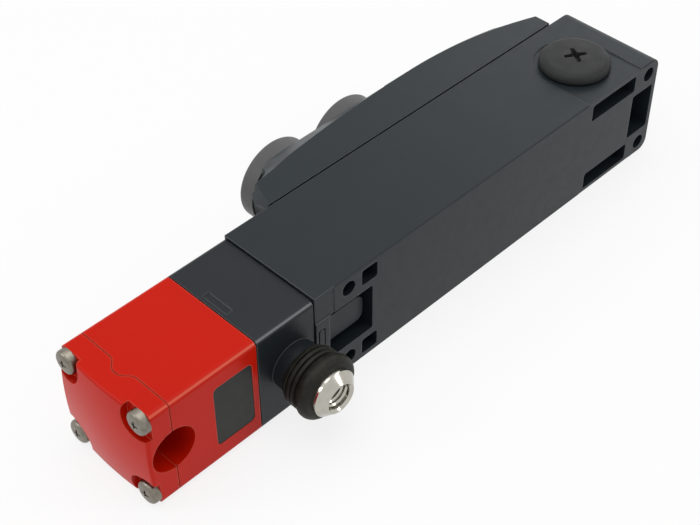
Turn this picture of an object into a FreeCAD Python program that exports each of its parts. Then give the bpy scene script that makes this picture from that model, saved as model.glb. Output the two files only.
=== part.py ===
import FreeCAD, Part
import math
import os
from FreeCAD import Vector

# Guard locking switch: red metal head, release module, long housing and raised front cover.
# Millimetres. X runs from the head to the cable end, Y out of the mounting face towards
# the front cover, Z up across the width. The origin is the centre of the four fixing
# holes on the mounting face.

# Fixing holes
FIXING_PITCH_X = 148.5
FIXING_PITCH_Z = 30.0
FIXING_HOLE_D = 5.5
FIXING_SETBACK = 14.0
FIXING_BOSS_R = 5.2
FIXING_HEAD_R = 5.4

# Housing
HOUSING_LENGTH = 168.0
HOUSING_WIDTH = 40.0
HOUSING_DEPTH = 40.0
HOUSING_WALL = 3.0
HOUSING_END_WALL = 3.2
HOUSING_CORNER_R = 4.0
HOUSING_FRONT_EDGE_R = 0.8
HOUSING_BACK_EDGE_R = 0.4

# Pockets in the mounting face, beside the fixing holes
POCKET_CORNER_R = 1.0
POCKET_FLOOR = 2.4
SMALL_POCKET_LENGTH = 6.8
SMALL_POCKET_OFFSET = 5.5
SMALL_POCKET_WIDTH = 6.3
SMALL_POCKET_DEPTH = 6.0
MOAT_START = 5.8
MOAT_LENGTH = 18.5
MOAT_WIDTH = 18.6
MOAT_DEPTH = 9.0
ISLAND_LENGTH = 16.5
ISLAND_WIDTH = 10.0
ISLAND_SINK = 2.6
ISLAND_CORNER_R = 3.0
KEY_MARK_START = 1.0
KEY_MARK_LENGTH = 3.0
KEY_MARK_WIDTH = 11.8
KEY_MARK_GROOVE = 0.6
KEY_MARK_DEPTH = 0.5
STEP_LENGTH = 8.1
STEP_DEPTH = 0.25
LONG_SLOT_LENGTH = 24.0
LONG_SLOT_WIDTH = 6.8
LONG_SLOT_OFFSET = 7.6
LONG_SLOT_DEPTH = 6.0
END_POCKET_LENGTH = 11.4
END_POCKET_WIDTH = 18.6
END_POCKET_DEPTH = 7.0
END_POCKET_RIM = 2.0

# Conduit entries at the cable end
ENTRY_D = 20.0
ENTRY_SETBACK = 24.6
ENTRY_HEIGHT = 18.4
ENTRY_PAD_R = 14.5
ENTRY_PAD_DEPTH = 0.4
KNOCKOUT_GROOVE = 0.8
PLUG_FLANGE_D = 25.2
PLUG_FLANGE_THICKNESS = 3.6
PLUG_RIM_R = 2.0
PLUG_SHANK_LENGTH = 8.0
PLUG_WALL = 2.2
PLUG_CROSS_LENGTH = 9.0
PLUG_CROSS_WIDTH = 2.2
PLUG_CROSS_DEPTH = 2.0
PLUG_CROSS_TURN = 25.0
PLUG_SEAL_THICKNESS = 0.8

# Red head and release module
HEAD_WIDTH = 38.1
HEAD_DEPTH = 39.4
HEAD_SETBACK = 0.45
HEAD_LENGTH = 32.2
HEAD_EDGE_R = 1.8
CAP_LENGTH = 10.4
CAP_CROWN = 1.5
CAP_RIM_R = 1.2
MODULE_LENGTH = 22.2
SEAM = 0.4
SEAM_INSET = 0.8
SPLIT_GROOVE = 0.35
SPLIT_GROOVE_DEPTH = 0.6
TONGUE_HEIGHT = 3.0
TONGUE_HALF_WIDTH = 6.4
ACTUATOR_BORE_R = 7.8
ACTUATOR_BORE_DEPTH = 32.5

# Long screws through cap, head and module into the housing
HEAD_SCREW_D = 4.0
HEAD_SCREW_INSET = 3.8
HEAD_SCREW_HEAD_D = 8.0
HEAD_SCREW_HEAD_HEIGHT = 3.1
HEAD_SCREW_DOME = 0.8
HEAD_SCREW_GRIP = 8.5
HEAD_SCREW_BLOCK = 3.2
SCREW_POCKET_R = 6.5
SCREW_POCKET_FLOOR = 6.5
SCREW_CROSS_LENGTH = 3.6
SCREW_CROSS_WIDTH = 0.9
SCREW_CROSS_DEPTH = 1.4

# Reading window and antenna
WINDOW_START = 15.5
WINDOW_LENGTH = 14.6
WINDOW_WIDTH = 24.4
WINDOW_THICKNESS = 2.0
WINDOW_CORNER_R = 1.8
WINDOW_SINK = 0.15
ANTENNA_RIM = 2.0
ANTENNA_DEPTH = 5.0
ANTENNA_COIL_THICKNESS = 3.0
ANTENNA_COIL_WIDTH = 2.4
ANTENNA_BOARD_THICKNESS = 1.2

# Locking bolt, rod and release collar
BOLT_D = 8.0
BOLT_TIP = 8.6
BOLT_LENGTH = 22.4
BOLT_CHAMFER = 1.2
BOLT_SOCKET = 6.0
BOLT_PORT_CLEARANCE = 0.3
BUSH_START = 11.0
BUSH_WALL = 2.4
ROD_D = 5.0
ROD_PORT_CLEARANCE = 0.4
COLLAR_R = 3.8
COLLAR_LENGTH = 4.0
COLLAR_START = 50.0
GUIDE_R = 4.6
GUIDE_FLANGE_R = 6.4
GUIDE_FLANGE = 1.4

# Chamber of the release module
CHAMBER_WALL = 4.2
CHAMBER_FLOOR = 7.8
CHAMBER_DEPTH = 20.0
CHAMBER_HALF_WIDTH = 9.5

# Escape release stem
STEM_SETBACK = 46.1
STEM_D = 10.0
STEM_REACH = 20.0
STEM_INNER_END = 10.8
STEM_HEAD_D = 16.0
STEM_HEAD_RIM = 1.4
STEM_FACE_D = 10.8
STEM_THREAD_CORE_D = 8.5
STEM_THREAD_DEPTH = 11.0
STEM_THREAD_CHAMFER = 0.7
STEM_CLIP_THICKNESS = 1.0
STEM_CLIP_RING = 2.0
STEM_CLIP_SINK = 0.5
RELEASE_BOSS_D = 16.8
RELEASE_BOSS_LENGTH = 6.5
STEM_BUSH_WALL = 1.6
STEM_BUSH_FLANGE = 1.2
STEM_BUSH_RIM = 1.0

# Rubber bellows over the stem
BELLOWS_LAP = 1.5
BELLOWS_RIBS = 3
BELLOWS_RIB_PITCH = 1.8
BELLOWS_RIB_R = 10.6
BELLOWS_VALLEY_R = 9.6
BELLOWS_RING_R = 11.0
BELLOWS_WALL = 1.2
BELLOWS_LIP = 1.6
BELLOWS_STEM_GAP = 0.3
BELLOWS_RING_ROUND = 1.8

# Tool operated auxiliary release on the front of the module
AUX_HEAD_R = 6.0
AUX_HEAD_THICKNESS = 2.6
AUX_SINK = 0.2
AUX_SHAFT_R = 4.0
AUX_SHAFT_END = 1.6
AUX_SEAL_THICKNESS = 0.5
AUX_SLOT_WIDTH = 1.4
AUX_SLOT_DEPTH = 1.5
AUX_PIN_R = 1.4
AUX_PIN_OFFSET = 2.2
AUX_PIN_LENGTH = 1.4
AUX_CLIP_R = 6.2
AUX_CLIP_THICKNESS = 0.8

# Shallow mark on the side of the module
SIDE_MARK_START = 1.4
SIDE_MARK_LENGTH = 2.4
SIDE_MARK_WIDTH = 10.6
SIDE_MARK_DEPTH = 0.35

# Front cover: side outline, then the raised front panel
COVER_WALL = 2.5
COVER_GASKET = 0.5
COVER_SIDE_INSET = 0.3
COVER_HEAD_SETBACK = 16.3
COVER_TAIL_SETBACK = 11.2
SIDE_FOOT_SETBACK = 3.0
SIDE_HEAD_LEAN = 7.0
SIDE_HEAD_HEIGHT = 10.8
SIDE_CREST_SETBACK = 102.8
SIDE_CREST_HEIGHT = 16.6
SIDE_TAIL_HEIGHT = 6.3
PANEL_HALF_WIDTH = 15.3
PANEL_HEAD_LEAN = 9.0
PANEL_HEIGHT = 20.4
PANEL_FLAT_SETBACK = 109.8
PANEL_TAIL_LEAN = 10.0
PANEL_TAIL_HEIGHT = 15.7
COVER_FOOT_FACTOR = 1.3
COVER_SEAL_INSET = 0.6
COVER_SEAL_BAND = 4.5

# Screws of the cover
COVER_SCREW_D = 3.5
COVER_SCREW_HEAD_R = 3.0
COVER_SCREW_HEAD_HEIGHT = 2.4
COVER_SCREW_SEAT = 4.0
COVER_SCREW_GRIP = 9.0
COVER_SCREW_Z = 14.0
COVER_SCREW_SETBACKS = (29.8, 148.8)
COVER_PILLAR_R = 4.6
HOUSING_PILLAR_R = 3.3
CUP_CLEARANCE = 0.5

# Push buttons on the front panel
BUTTON_SETBACK = 44.8
BUTTON_PITCH = 32.5
BEZEL_R = 15.15
BEZEL_HEIGHT = 6.5
BEZEL_FLOOR = 0.7
BEZEL_ROUND = 1.2
BEZEL_TUBE_R = 11.0
BEZEL_TUBE_WALL = 1.5
BEZEL_TUBE_LENGTH = 12.0
BEZEL_LEDGE = 3.0
BEZEL_LEDGE_THICKNESS = 1.5
BUTTON_R = 11.4
BUTTON_SINK = 0.3
BUTTON_EDGE_R = 0.8
BUTTON_GAP = 0.15
BUTTON_TRAVEL = 3.5
BUTTON_PLUNGER_R = 3.6
BUTTON_PLUNGER_DIP = 0.8
BUTTON_FLOOR_GAP = 0.1
NUT_R = 12.7
NUT_THICKNESS = 4.0
BUTTON_SPRING_R = 7.6
BUTTON_SPRING_WIRE = 0.8
BUTTON_SPRING_TURNS = 4
CONTACT_BLOCK_SIZE = 18.0
CONTACT_BLOCK_HEIGHT = 7.5
CONTACT_PORT_R = 4.4
CONTACT_FLOOR = 1.5

# Solenoid inside the housing
SOLENOID_SETBACK = 37.8
YOKE_PLATE = 2.5
YOKE_GAP = 41.0
YOKE_FLANGE = 7.0
YOKE_HALF_WIDTH = 11.5
YOKE_FOOT = 2.5
YOKE_PAD_R = 4.0
BOBBIN_WALL = 1.2
BOBBIN_FLANGE_R = 11.2
COIL_R = 10.8
PLUNGER_D = 10.0
PLUNGER_REACH = 11.5
PLUNGER_FLANGE_R = 7.4
PLUNGER_FLANGE = 1.5
PLUNGER_STROKE_GAP = 0.3
CORE_LENGTH = 18.0
LOCK_SPRING_R = 6.5
LOCK_SPRING_WIRE = 1.2
LOCK_SPRING_TURNS = 5

# Control board, terminals and light pipes
BOARD_HEIGHT = 34.2
BOARD_THICKNESS = 1.6
BOARD_HALF_WIDTH = 10.4
BOARD_START = 34.6
BOARD_LENGTH = 92.4
BOARD_POST_R = 2.6
BOARD_POSTS = ((95.2, 7.0), (124.8, -7.0))
TERMINAL_START = 98.6
TERMINAL_POLES = 6
TERMINAL_PITCH = 3.8
TERMINAL_INNER_Z = 2.6
TERMINAL_WIDTH = 6.4
TERMINAL_HEIGHT = 9.5
TERMINAL_PORT_R = 1.3
TERMINAL_SCREW_R = 1.3
TERMINAL_SCREW_DEPTH = 2.5
LIGHT_PIPE_R = 1.4
LIGHT_PIPE_COUNT = 4
LIGHT_PIPE_PITCH = 3.6
LIGHT_PIPE_START = 95.1
LIGHT_PIPE_GAP = 1.0
LENS_START = 92.8
LENS_LENGTH = 15.4
LENS_RISE = 0.4
LENS_SINK = 0.8
LENS_RIM = 0.1

# Small machine screws inside
SMALL_SCREW_D = 3.0
SMALL_SCREW_HEAD_R = 2.75
SMALL_SCREW_HEAD_HEIGHT = 2.0
SMALL_SCREW_GRIP = 5.0

# Clearances
RUNNING_FIT = 0.05
SEAT_FIT = 0.05
SCREW_CLEARANCE = 0.2
CUT = 1.0

# Places worked out from the sizes above
FIX_X = FIXING_PITCH_X / 2
FIX_Z = FIXING_PITCH_Z / 2
HOUSING_HALF = HOUSING_WIDTH / 2
HEAD_HALF = HEAD_WIDTH / 2
HOUSING_X0 = -FIX_X - FIXING_SETBACK
HOUSING_X1 = HOUSING_X0 + HOUSING_LENGTH
MODULE_X1 = HOUSING_X0 - SEAM
MODULE_X0 = MODULE_X1 - MODULE_LENGTH
HEAD_X1 = MODULE_X0 - SEAM
BORE_X = HEAD_X1 - HEAD_LENGTH
HEAD_Y0 = HEAD_SETBACK
HEAD_Y1 = HEAD_Y0 + HEAD_DEPTH
LOCK_Y = HEAD_Y0 + HEAD_DEPTH / 2
STEM_X = BORE_X + STEM_SETBACK
STEM_FACE_Y = HEAD_Y0 - STEM_REACH
BOSS_END_Y = HEAD_Y0 - RELEASE_BOSS_LENGTH
CHAMBER_Y0 = HEAD_Y0 + CHAMBER_FLOOR
CHAMBER_Y1 = CHAMBER_Y0 + CHAMBER_DEPTH
COVER_Y0 = HOUSING_DEPTH + COVER_GASKET
COVER_X0 = HOUSING_X0 + COVER_HEAD_SETBACK
COVER_X1 = HOUSING_X1 - COVER_TAIL_SETBACK
COVER_HALF = HOUSING_HALF - COVER_SIDE_INSET
PANEL_Y = COVER_Y0 + PANEL_HEIGHT
ENTRY_X = HOUSING_X1 - ENTRY_SETBACK
PAD_Z = HOUSING_HALF - ENTRY_PAD_DEPTH
YOKE_X0 = HOUSING_X0 + SOLENOID_SETBACK
YOKE_X1 = YOKE_X0 + YOKE_GAP + 2 * YOKE_PLATE
YOKE_Y0 = HOUSING_WALL + YOKE_FOOT
BOARD_X0 = HOUSING_X0 + BOARD_START
BOARD_TOP = BOARD_HEIGHT + BOARD_THICKNESS
BUTTON_XS = [HOUSING_X0 + BUTTON_SETBACK + i * BUTTON_PITCH for i in range(2)]
SCREW_FLOOR_X = BORE_X - SCREW_POCKET_FLOOR
PLUNGER_X0 = YOKE_X0 - PLUNGER_REACH - PLUNGER_FLANGE


def block(x0, x1, y0, y1, z0, z1):
    """Box between two corners."""
    return Part.makeBox(x1 - x0, y1 - y0, z1 - z0, Vector(x0, y0, z0))


def slab(x0, x1, y0, y1, half_z):
    """Box that is symmetric about the middle plane."""
    return block(x0, x1, y0, y1, -half_z, half_z)


def rod_x(x0, x1, r, y=LOCK_Y, z=0.0):
    """Cylinder along X."""
    return Part.makeCylinder(r, x1 - x0, Vector(x0, y, z), Vector(1, 0, 0))


def rod_y(y0, y1, r, x, z=0.0):
    """Cylinder along Y."""
    return Part.makeCylinder(r, y1 - y0, Vector(x, y0, z), Vector(0, 1, 0))


def rod_z(z0, z1, r, x, y):
    """Cylinder along Z."""
    return Part.makeCylinder(r, z1 - z0, Vector(x, y, z0), Vector(0, 0, 1))


def ring_x(x0, x1, inner, outer):
    """Ring on the locking axis."""
    return rod_x(x0, x1, outer).cut(rod_x(x0 - CUT, x1 + CUT, inner))


def ring_y(y0, y1, inner, outer, x, z=0.0):
    """Ring about an axis along Y."""
    return rod_y(y0, y1, outer, x, z).cut(rod_y(y0 - CUT, y1 + CUT, inner, x, z))


def edges_along(shape, axis):
    """Straight edges that run along one axis."""
    spans = {"x": "XLength", "y": "YLength", "z": "ZLength"}
    long_span = spans.pop(axis)
    tiny = 1e-4
    picked = []
    for edge in shape.Edges:
        box = edge.BoundBox
        if getattr(box, long_span) > tiny and all(getattr(box, span) < tiny for span in spans.values()):
            picked.append(edge)
    return picked


def edges_at(shape, axis, value):
    """Edges that lie in one plane across an axis."""
    low, high = {"x": ("XMin", "XMax"), "y": ("YMin", "YMax"), "z": ("ZMin", "ZMax")}[axis]
    near = 1e-3
    return [e for e in shape.Edges
            if abs(getattr(e.BoundBox, low) - value) < near and abs(getattr(e.BoundBox, high) - value) < near]


def rounded_pocket(x0, x1, y0, y1, z0, z1, r):
    """Block with its four upright edges, along Y, rounded."""
    shape = block(x0, x1, y0, y1, z0, z1)
    return shape.makeFillet(r, edges_along(shape, "y"))


def turned_y(profile, x, z=0.0):
    """Solid turned about an axis along Y from (radius, y) points."""
    points = [Vector(x + r, y, z) for r, y in profile]
    face = Part.Face(Part.makePolygon(points + points[:1]))
    return face.revolve(Vector(x, 0, z), Vector(0, 1, 0), 360)


def helix_spring(start, direction, length, mean_r, wire_d, turns):
    """Round wire coil spring that fills the length between its two seats."""
    rise = length - wire_d
    helix = Part.makeHelix(rise / turns, rise, mean_r)
    section = Part.Wire(Part.makeCircle(wire_d / 2, Vector(mean_r, 0, 0), Vector(0, 1, 0)))
    coil = Part.Wire(helix.Edges).makePipeShell([section], True, True)
    coil.translate(Vector(0, 0, wire_d / 2))
    turn = FreeCAD.Placement(start, FreeCAD.Rotation(Vector(0, 0, 1), direction))
    coil.Placement = turn.multiply(coil.Placement)
    return coil


def corners(x_list, z_list):
    """Every pair of one value from each list."""
    return [(x, z) for x in x_list for z in z_list]


def fixing_places():
    """Centres of the four fixing holes."""
    return corners((-FIX_X, FIX_X), (-FIX_Z, FIX_Z))


def head_screw_places():
    """Y and Z of the four long head screws."""
    ys = (HEAD_Y0 + HEAD_SCREW_INSET, HEAD_Y1 - HEAD_SCREW_INSET)
    zs = (-HEAD_HALF + HEAD_SCREW_INSET, HEAD_HALF - HEAD_SCREW_INSET)
    return corners(ys, zs)


def cover_screw_places():
    """X and Z of the cover screws."""
    return corners([HOUSING_X0 + s for s in COVER_SCREW_SETBACKS], (-COVER_SCREW_Z, COVER_SCREW_Z))


def pocket_cavity():
    """Hollow of the housing, open to the front under the cover, clear of the pockets behind it."""
    open_y = HOUSING_DEPTH - HOUSING_WALL
    half = HOUSING_HALF - HOUSING_WALL
    moat_end = HOUSING_X0 + MOAT_START + MOAT_LENGTH + POCKET_FLOOR
    slot_start = FIX_X - LONG_SLOT_OFFSET - LONG_SLOT_LENGTH - POCKET_FLOOR
    end_start = HOUSING_X1 - END_POCKET_RIM - END_POCKET_LENGTH - POCKET_FLOOR
    head_end = slab(HOUSING_X0 + HOUSING_END_WALL, moat_end, MOAT_DEPTH + POCKET_FLOOR, open_y, half)
    middle = slab(moat_end, slot_start, HOUSING_WALL, open_y, half)
    entries = slab(slot_start, end_start, LONG_SLOT_DEPTH + POCKET_FLOOR, open_y, half)
    tail_half = FIX_Z - FIXING_BOSS_R
    tail = slab(end_start, HOUSING_X1 - HOUSING_END_WALL, END_POCKET_DEPTH + POCKET_FLOOR, open_y, tail_half)
    mouth = slab(COVER_X0 + COVER_SEAL_BAND, COVER_X1 - COVER_SEAL_BAND, open_y - CUT,
                 HOUSING_DEPTH + CUT, half)
    cavity = head_end.fuse([middle, entries, tail, mouth])
    solid = [rod_y(-CUT, open_y, FIXING_BOSS_R, x, z) for x, z in fixing_places()]
    for y, z in head_screw_places():
        solid.append(block(HOUSING_X0, HOUSING_X0 + HEAD_SCREW_GRIP + HOUSING_WALL, y - HEAD_SCREW_BLOCK,
                           y + HEAD_SCREW_BLOCK, z - HEAD_SCREW_BLOCK, z + HEAD_SCREW_BLOCK))
    return cavity.cut(solid)


def mounting_face_pockets():
    """Cuts in the mounting face, one list of solids."""
    cuts = []
    for side in (-1, 1):
        z_mid = side * FIX_Z
        low = z_mid - SMALL_POCKET_WIDTH / 2
        x0 = -FIX_X + SMALL_POCKET_OFFSET
        cuts.append(rounded_pocket(x0, x0 + SMALL_POCKET_LENGTH, -CUT, SMALL_POCKET_DEPTH,
                                   low, low + SMALL_POCKET_WIDTH, POCKET_CORNER_R))
        low = z_mid - LONG_SLOT_WIDTH / 2
        x1 = FIX_X - LONG_SLOT_OFFSET
        cuts.append(rounded_pocket(x1 - LONG_SLOT_LENGTH, x1, -CUT, LONG_SLOT_DEPTH,
                                   low, low + LONG_SLOT_WIDTH, POCKET_CORNER_R))
        step_z = sorted((side * MOAT_WIDTH / 2, side * (HOUSING_HALF + CUT)))
        cuts.append(block(HOUSING_X0 - CUT, HOUSING_X0 + STEP_LENGTH, -CUT, STEP_DEPTH, *step_z))
    moat_x0 = HOUSING_X0 + MOAT_START
    moat = rounded_pocket(moat_x0, moat_x0 + MOAT_LENGTH, -CUT, MOAT_DEPTH,
                          -MOAT_WIDTH / 2, MOAT_WIDTH / 2, POCKET_CORNER_R)
    island = rounded_pocket(moat_x0 - ISLAND_CORNER_R, moat_x0 + ISLAND_LENGTH, ISLAND_SINK,
                            MOAT_DEPTH + CUT, -ISLAND_WIDTH / 2, ISLAND_WIDTH / 2, ISLAND_CORNER_R)
    cuts.append(moat.cut(island))
    end_x1 = HOUSING_X1 - END_POCKET_RIM
    cuts.append(rounded_pocket(end_x1 - END_POCKET_LENGTH, end_x1, -CUT, END_POCKET_DEPTH,
                               -END_POCKET_WIDTH / 2, END_POCKET_WIDTH / 2, POCKET_CORNER_R))
    cuts.append(key_mark())
    return cuts


def key_mark():
    """Shallow rounded outline pressed into the mounting face beside the module."""
    x0 = HOUSING_X0 + KEY_MARK_START
    x1 = x0 + KEY_MARK_LENGTH
    half = KEY_MARK_WIDTH / 2
    outer = rounded_pocket(x0, x1, -CUT, KEY_MARK_DEPTH, -half, half, KEY_MARK_LENGTH / 3)
    inner = rounded_pocket(x0 + KEY_MARK_GROOVE, x1 - KEY_MARK_GROOVE, -2 * CUT, KEY_MARK_DEPTH + CUT,
                           -half + KEY_MARK_GROOVE, half - KEY_MARK_GROOVE, KEY_MARK_GROOVE)
    return outer.cut(inner)


def entry_pad(side):
    """Recess with a round top about the entry on one side wall."""
    z0, z1 = sorted((side * PAD_Z, side * (HOUSING_HALF + CUT)))
    arch = rod_z(z0, z1, ENTRY_PAD_R, ENTRY_X, ENTRY_HEIGHT)
    return arch.fuse(block(ENTRY_X - ENTRY_PAD_R, ENTRY_X + ENTRY_PAD_R, -CUT, ENTRY_HEIGHT, z0, z1))


def knockout_rings():
    """Thin ring grooves of the two entries that are still closed."""
    inner = ENTRY_D / 2 - KNOCKOUT_GROOVE
    floor_z = -PAD_Z + KNOCKOUT_GROOVE
    side = rod_z(-PAD_Z - CUT, floor_z, ENTRY_D / 2, ENTRY_X, ENTRY_HEIGHT)
    side = side.cut(rod_z(-PAD_Z - 2 * CUT, floor_z + CUT, inner, ENTRY_X, ENTRY_HEIGHT))
    end_y = HOUSING_DEPTH / 2
    end = rod_x(HOUSING_X1 - KNOCKOUT_GROOVE, HOUSING_X1 + CUT, ENTRY_D / 2, end_y)
    end = end.cut(rod_x(HOUSING_X1 - KNOCKOUT_GROOVE - CUT, HOUSING_X1 + 2 * CUT, inner, end_y))
    return [side, end]


def housing_posts():
    """Pads, posts and pillars that stand inside the housing."""
    posts = []
    for x in yoke_screw_xs():
        posts.append(rod_y(HOUSING_WALL - CUT, YOKE_Y0, YOKE_PAD_R, x))
    for x, z in board_post_places():
        posts.append(rod_y(HOUSING_WALL - CUT, BOARD_HEIGHT, BOARD_POST_R, x, z))
    for x, z in cover_screw_places():
        y0 = HOUSING_DEPTH - COVER_SCREW_GRIP - HOUSING_WALL
        web = sorted((z, math.copysign(HOUSING_HALF - HOUSING_WALL, z)))
        posts.append(rod_y(y0, HOUSING_DEPTH, HOUSING_PILLAR_R, x, z))
        posts.append(block(x - HOUSING_PILLAR_R, x + HOUSING_PILLAR_R, y0, HOUSING_DEPTH, *web))
    return posts


def board_post_places():
    """X and Z of the two posts under the control board."""
    return [(HOUSING_X0 + setback, z) for setback, z in BOARD_POSTS]


def main_housing():
    """Long moulded housing with its fixing holes, pockets, entries and hollow."""
    body = slab(HOUSING_X0, HOUSING_X1, 0, HOUSING_DEPTH, HOUSING_HALF)
    tail_edges = [e for e in edges_along(body, "y") if e.BoundBox.XMin > 0]
    body = body.makeFillet(HOUSING_CORNER_R, tail_edges)
    body = body.makeFillet(HOUSING_FRONT_EDGE_R, edges_at(body, "y", HOUSING_DEPTH))
    body = body.makeFillet(HOUSING_BACK_EDGE_R, edges_at(body, "y", 0))
    body = body.cut([pocket_cavity()] + mounting_face_pockets())
    body = body.fuse(housing_posts())
    holes = [rod_y(-CUT, HOUSING_DEPTH + CUT, FIXING_HOLE_D / 2, x, z) for x, z in fixing_places()]
    holes += [entry_pad(-1), entry_pad(1)] + knockout_rings()
    holes.append(rod_z(0, HOUSING_HALF + CUT, ENTRY_D / 2, ENTRY_X, ENTRY_HEIGHT))
    holes.append(rod_x(HOUSING_X0 - CUT, HOUSING_X0 + HOUSING_END_WALL + CUT, GUIDE_R + SEAT_FIT))
    for y, z in head_screw_places():
        holes.append(rod_x(HOUSING_X0 - CUT, HOUSING_X0 + HEAD_SCREW_GRIP, HEAD_SCREW_D / 2, y, z))
    for x, z in cover_screw_places():
        thread_y = HOUSING_DEPTH - COVER_SCREW_GRIP - CUT
        holes.append(rod_y(thread_y, HOUSING_DEPTH + CUT, COVER_SCREW_D / 2, x, z))
    for x in yoke_screw_xs():
        holes.append(rod_y(CUT, YOKE_Y0 + CUT, SMALL_SCREW_D / 2, x))
    for x, z in board_post_places():
        holes.append(rod_y(BOARD_HEIGHT - SMALL_SCREW_GRIP, BOARD_HEIGHT + CUT, SMALL_SCREW_D / 2, x, z))
    return body.cut(holes).removeSplitter()


def cover_wire(z, foot, foot_y, head, crest, tail):
    """Closed outline of the cover in one plane across Z: foot, head end, crest, tail, foot."""
    a = Vector(foot[0], foot_y, z)
    b = Vector(head[0], head[1], z)
    c = Vector(crest[0], crest[1], z)
    d = Vector(tail[0], tail[1], z)
    e = Vector(foot[1], foot_y, z)
    edges = [Part.LineSegment(a, b), top_curve(c, b), top_curve(c, d), Part.LineSegment(d, e),
             Part.LineSegment(e, a)]
    return Part.Wire([edge.toShape() for edge in edges])


def top_curve(crest, end):
    """Arc that leaves the crest level and comes down to the end, or a line where it is level."""
    drop = crest.y - end.y
    if abs(drop) < 1e-6:
        return Part.LineSegment(end, crest) if end.x < crest.x else Part.LineSegment(crest, end)
    run = end.x - crest.x
    radius = (run * run + drop * drop) / (2 * drop)
    half_angle = math.atan2(run, radius - drop) / 2
    middle = crest + Vector(radius * math.sin(half_angle), radius * math.cos(half_angle) - radius, 0)
    return Part.Arc(end, middle, crest) if run < 0 else Part.Arc(crest, middle, end)


def cover_form(inset, drop):
    """Cover drawn in by inset on every side, with its foot lowered by drop."""
    foot_x0 = COVER_X0 + inset * COVER_FOOT_FACTOR
    foot_x1 = COVER_X1 - inset
    side_foot = (foot_x0 + SIDE_FOOT_SETBACK, foot_x1)
    panel_foot = (foot_x0, foot_x1)
    foot_y = COVER_Y0 - drop
    sections = []
    for z in (inset - COVER_HALF, inset - PANEL_HALF_WIDTH, PANEL_HALF_WIDTH - inset, COVER_HALF - inset):
        if abs(z) > PANEL_HALF_WIDTH - inset:
            head = (foot_x0 + SIDE_HEAD_LEAN, COVER_Y0 + SIDE_HEAD_HEIGHT - inset)
            crest = (HOUSING_X0 + SIDE_CREST_SETBACK, COVER_Y0 + SIDE_CREST_HEIGHT - inset)
            tail = (foot_x1, COVER_Y0 + SIDE_TAIL_HEIGHT - inset)
            sections.append(cover_wire(z, side_foot, foot_y, head, crest, tail))
        else:
            head = (foot_x0 + PANEL_HEAD_LEAN, PANEL_Y - inset)
            crest = (HOUSING_X0 + PANEL_FLAT_SETBACK, PANEL_Y - inset)
            tail = (foot_x1 - PANEL_TAIL_LEAN, COVER_Y0 + PANEL_TAIL_HEIGHT - inset)
            sections.append(cover_wire(z, panel_foot, foot_y, head, crest, tail))
    return Part.makeLoft(sections, True, True)



def front_cover():
    """Hollow front cover with screw pillars, button holes and light pipe holes."""
    outer = cover_form(0, 0)
    top = PANEL_Y + CUT
    shell = outer.cut(cover_form(COVER_WALL, CUT))
    pillars = [rod_y(COVER_Y0, top, COVER_PILLAR_R, x, z) for x, z in cover_screw_places()]
    shell = shell.fuse([pillar.common(outer) for pillar in pillars])
    holes = []
    for x, z in cover_screw_places():
        seat = COVER_Y0 + COVER_SCREW_SEAT
        holes.append(rod_y(COVER_Y0 - CUT, seat + CUT, COVER_SCREW_D / 2 + SCREW_CLEARANCE, x, z))
        holes.append(rod_y(seat, top, COVER_SCREW_HEAD_R + CUP_CLEARANCE, x, z))
    for x in BUTTON_XS:
        holes.append(rod_y(COVER_Y0, top, BEZEL_TUBE_R + SEAT_FIT, x))
    holes.append(lens_plate(SEAT_FIT))
    for x in light_pipe_xs():
        holes.append(rod_y(COVER_Y0, top, LIGHT_PIPE_R + SEAT_FIT, x))
    for x, z in fixing_places():
        holes.append(rod_y(COVER_Y0 - CUT, top, FIXING_HEAD_R, x, z))
    return shell.cut(holes).removeSplitter()


def cover_gasket():
    """Flat seal between the cover's rim and the housing."""
    rim = cover_form(COVER_SEAL_INSET, COVER_GASKET).common(
        slab(COVER_X0, COVER_X1, HOUSING_DEPTH, COVER_Y0, HOUSING_HALF))
    hollow = slab(COVER_X0 + COVER_SEAL_BAND, COVER_X1 - COVER_SEAL_BAND, HOUSING_DEPTH - CUT, COVER_Y0 + CUT,
                  COVER_HALF - COVER_WALL)
    rim = rim.cut(hollow)
    pads = []
    holes = []
    for x, z in cover_screw_places():
        pads.append(rod_y(HOUSING_DEPTH, COVER_Y0, HOUSING_PILLAR_R, x, z))
        holes.append(rod_y(HOUSING_DEPTH - CUT, COVER_Y0 + CUT, COVER_SCREW_D / 2 + SCREW_CLEARANCE, x, z))
    for x, z in fixing_places():
        holes.append(rod_y(HOUSING_DEPTH - CUT, COVER_Y0 + CUT, FIXING_HEAD_R + SEAM_INSET, x, z))
    return rim.fuse(pads).cut(holes).removeSplitter()



def pan_screw(shank_d, length, head_r, head_height, dome, cross):
    """Pan head screw along +Z with the head's underside at the origin; the shank goes to -Z."""
    head = Part.makeCylinder(head_r, head_height)
    rim = [e for e in head.Edges if abs(e.BoundBox.ZMin - head_height) < 1e-3 and e.BoundBox.XLength > 0]
    head = head.makeFillet(dome, rim)
    shank = Part.makeCylinder(shank_d / 2, length, Vector(0, 0, -length))
    screw = head.fuse(shank).removeSplitter()
    if cross:
        cross_length, cross_width, cross_depth = cross
        z0 = head_height - cross_depth
        for size_x, size_y in ((cross_length, cross_width), (cross_width, cross_length)):
            screw = screw.cut(Part.makeBox(size_x, size_y, cross_depth + CUT,
                                           Vector(-size_x / 2, -size_y / 2, z0)))
    return screw


def place(shape, point, direction):
    """Turn a piece made along +Z to a direction and set it at a point."""
    turned = shape.copy()
    turned.Placement = FreeCAD.Placement(point, FreeCAD.Rotation(Vector(0, 0, 1), direction))
    return turned


def group(solids):
    """Several separate solids in one node."""
    return Part.makeCompound(solids)


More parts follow.
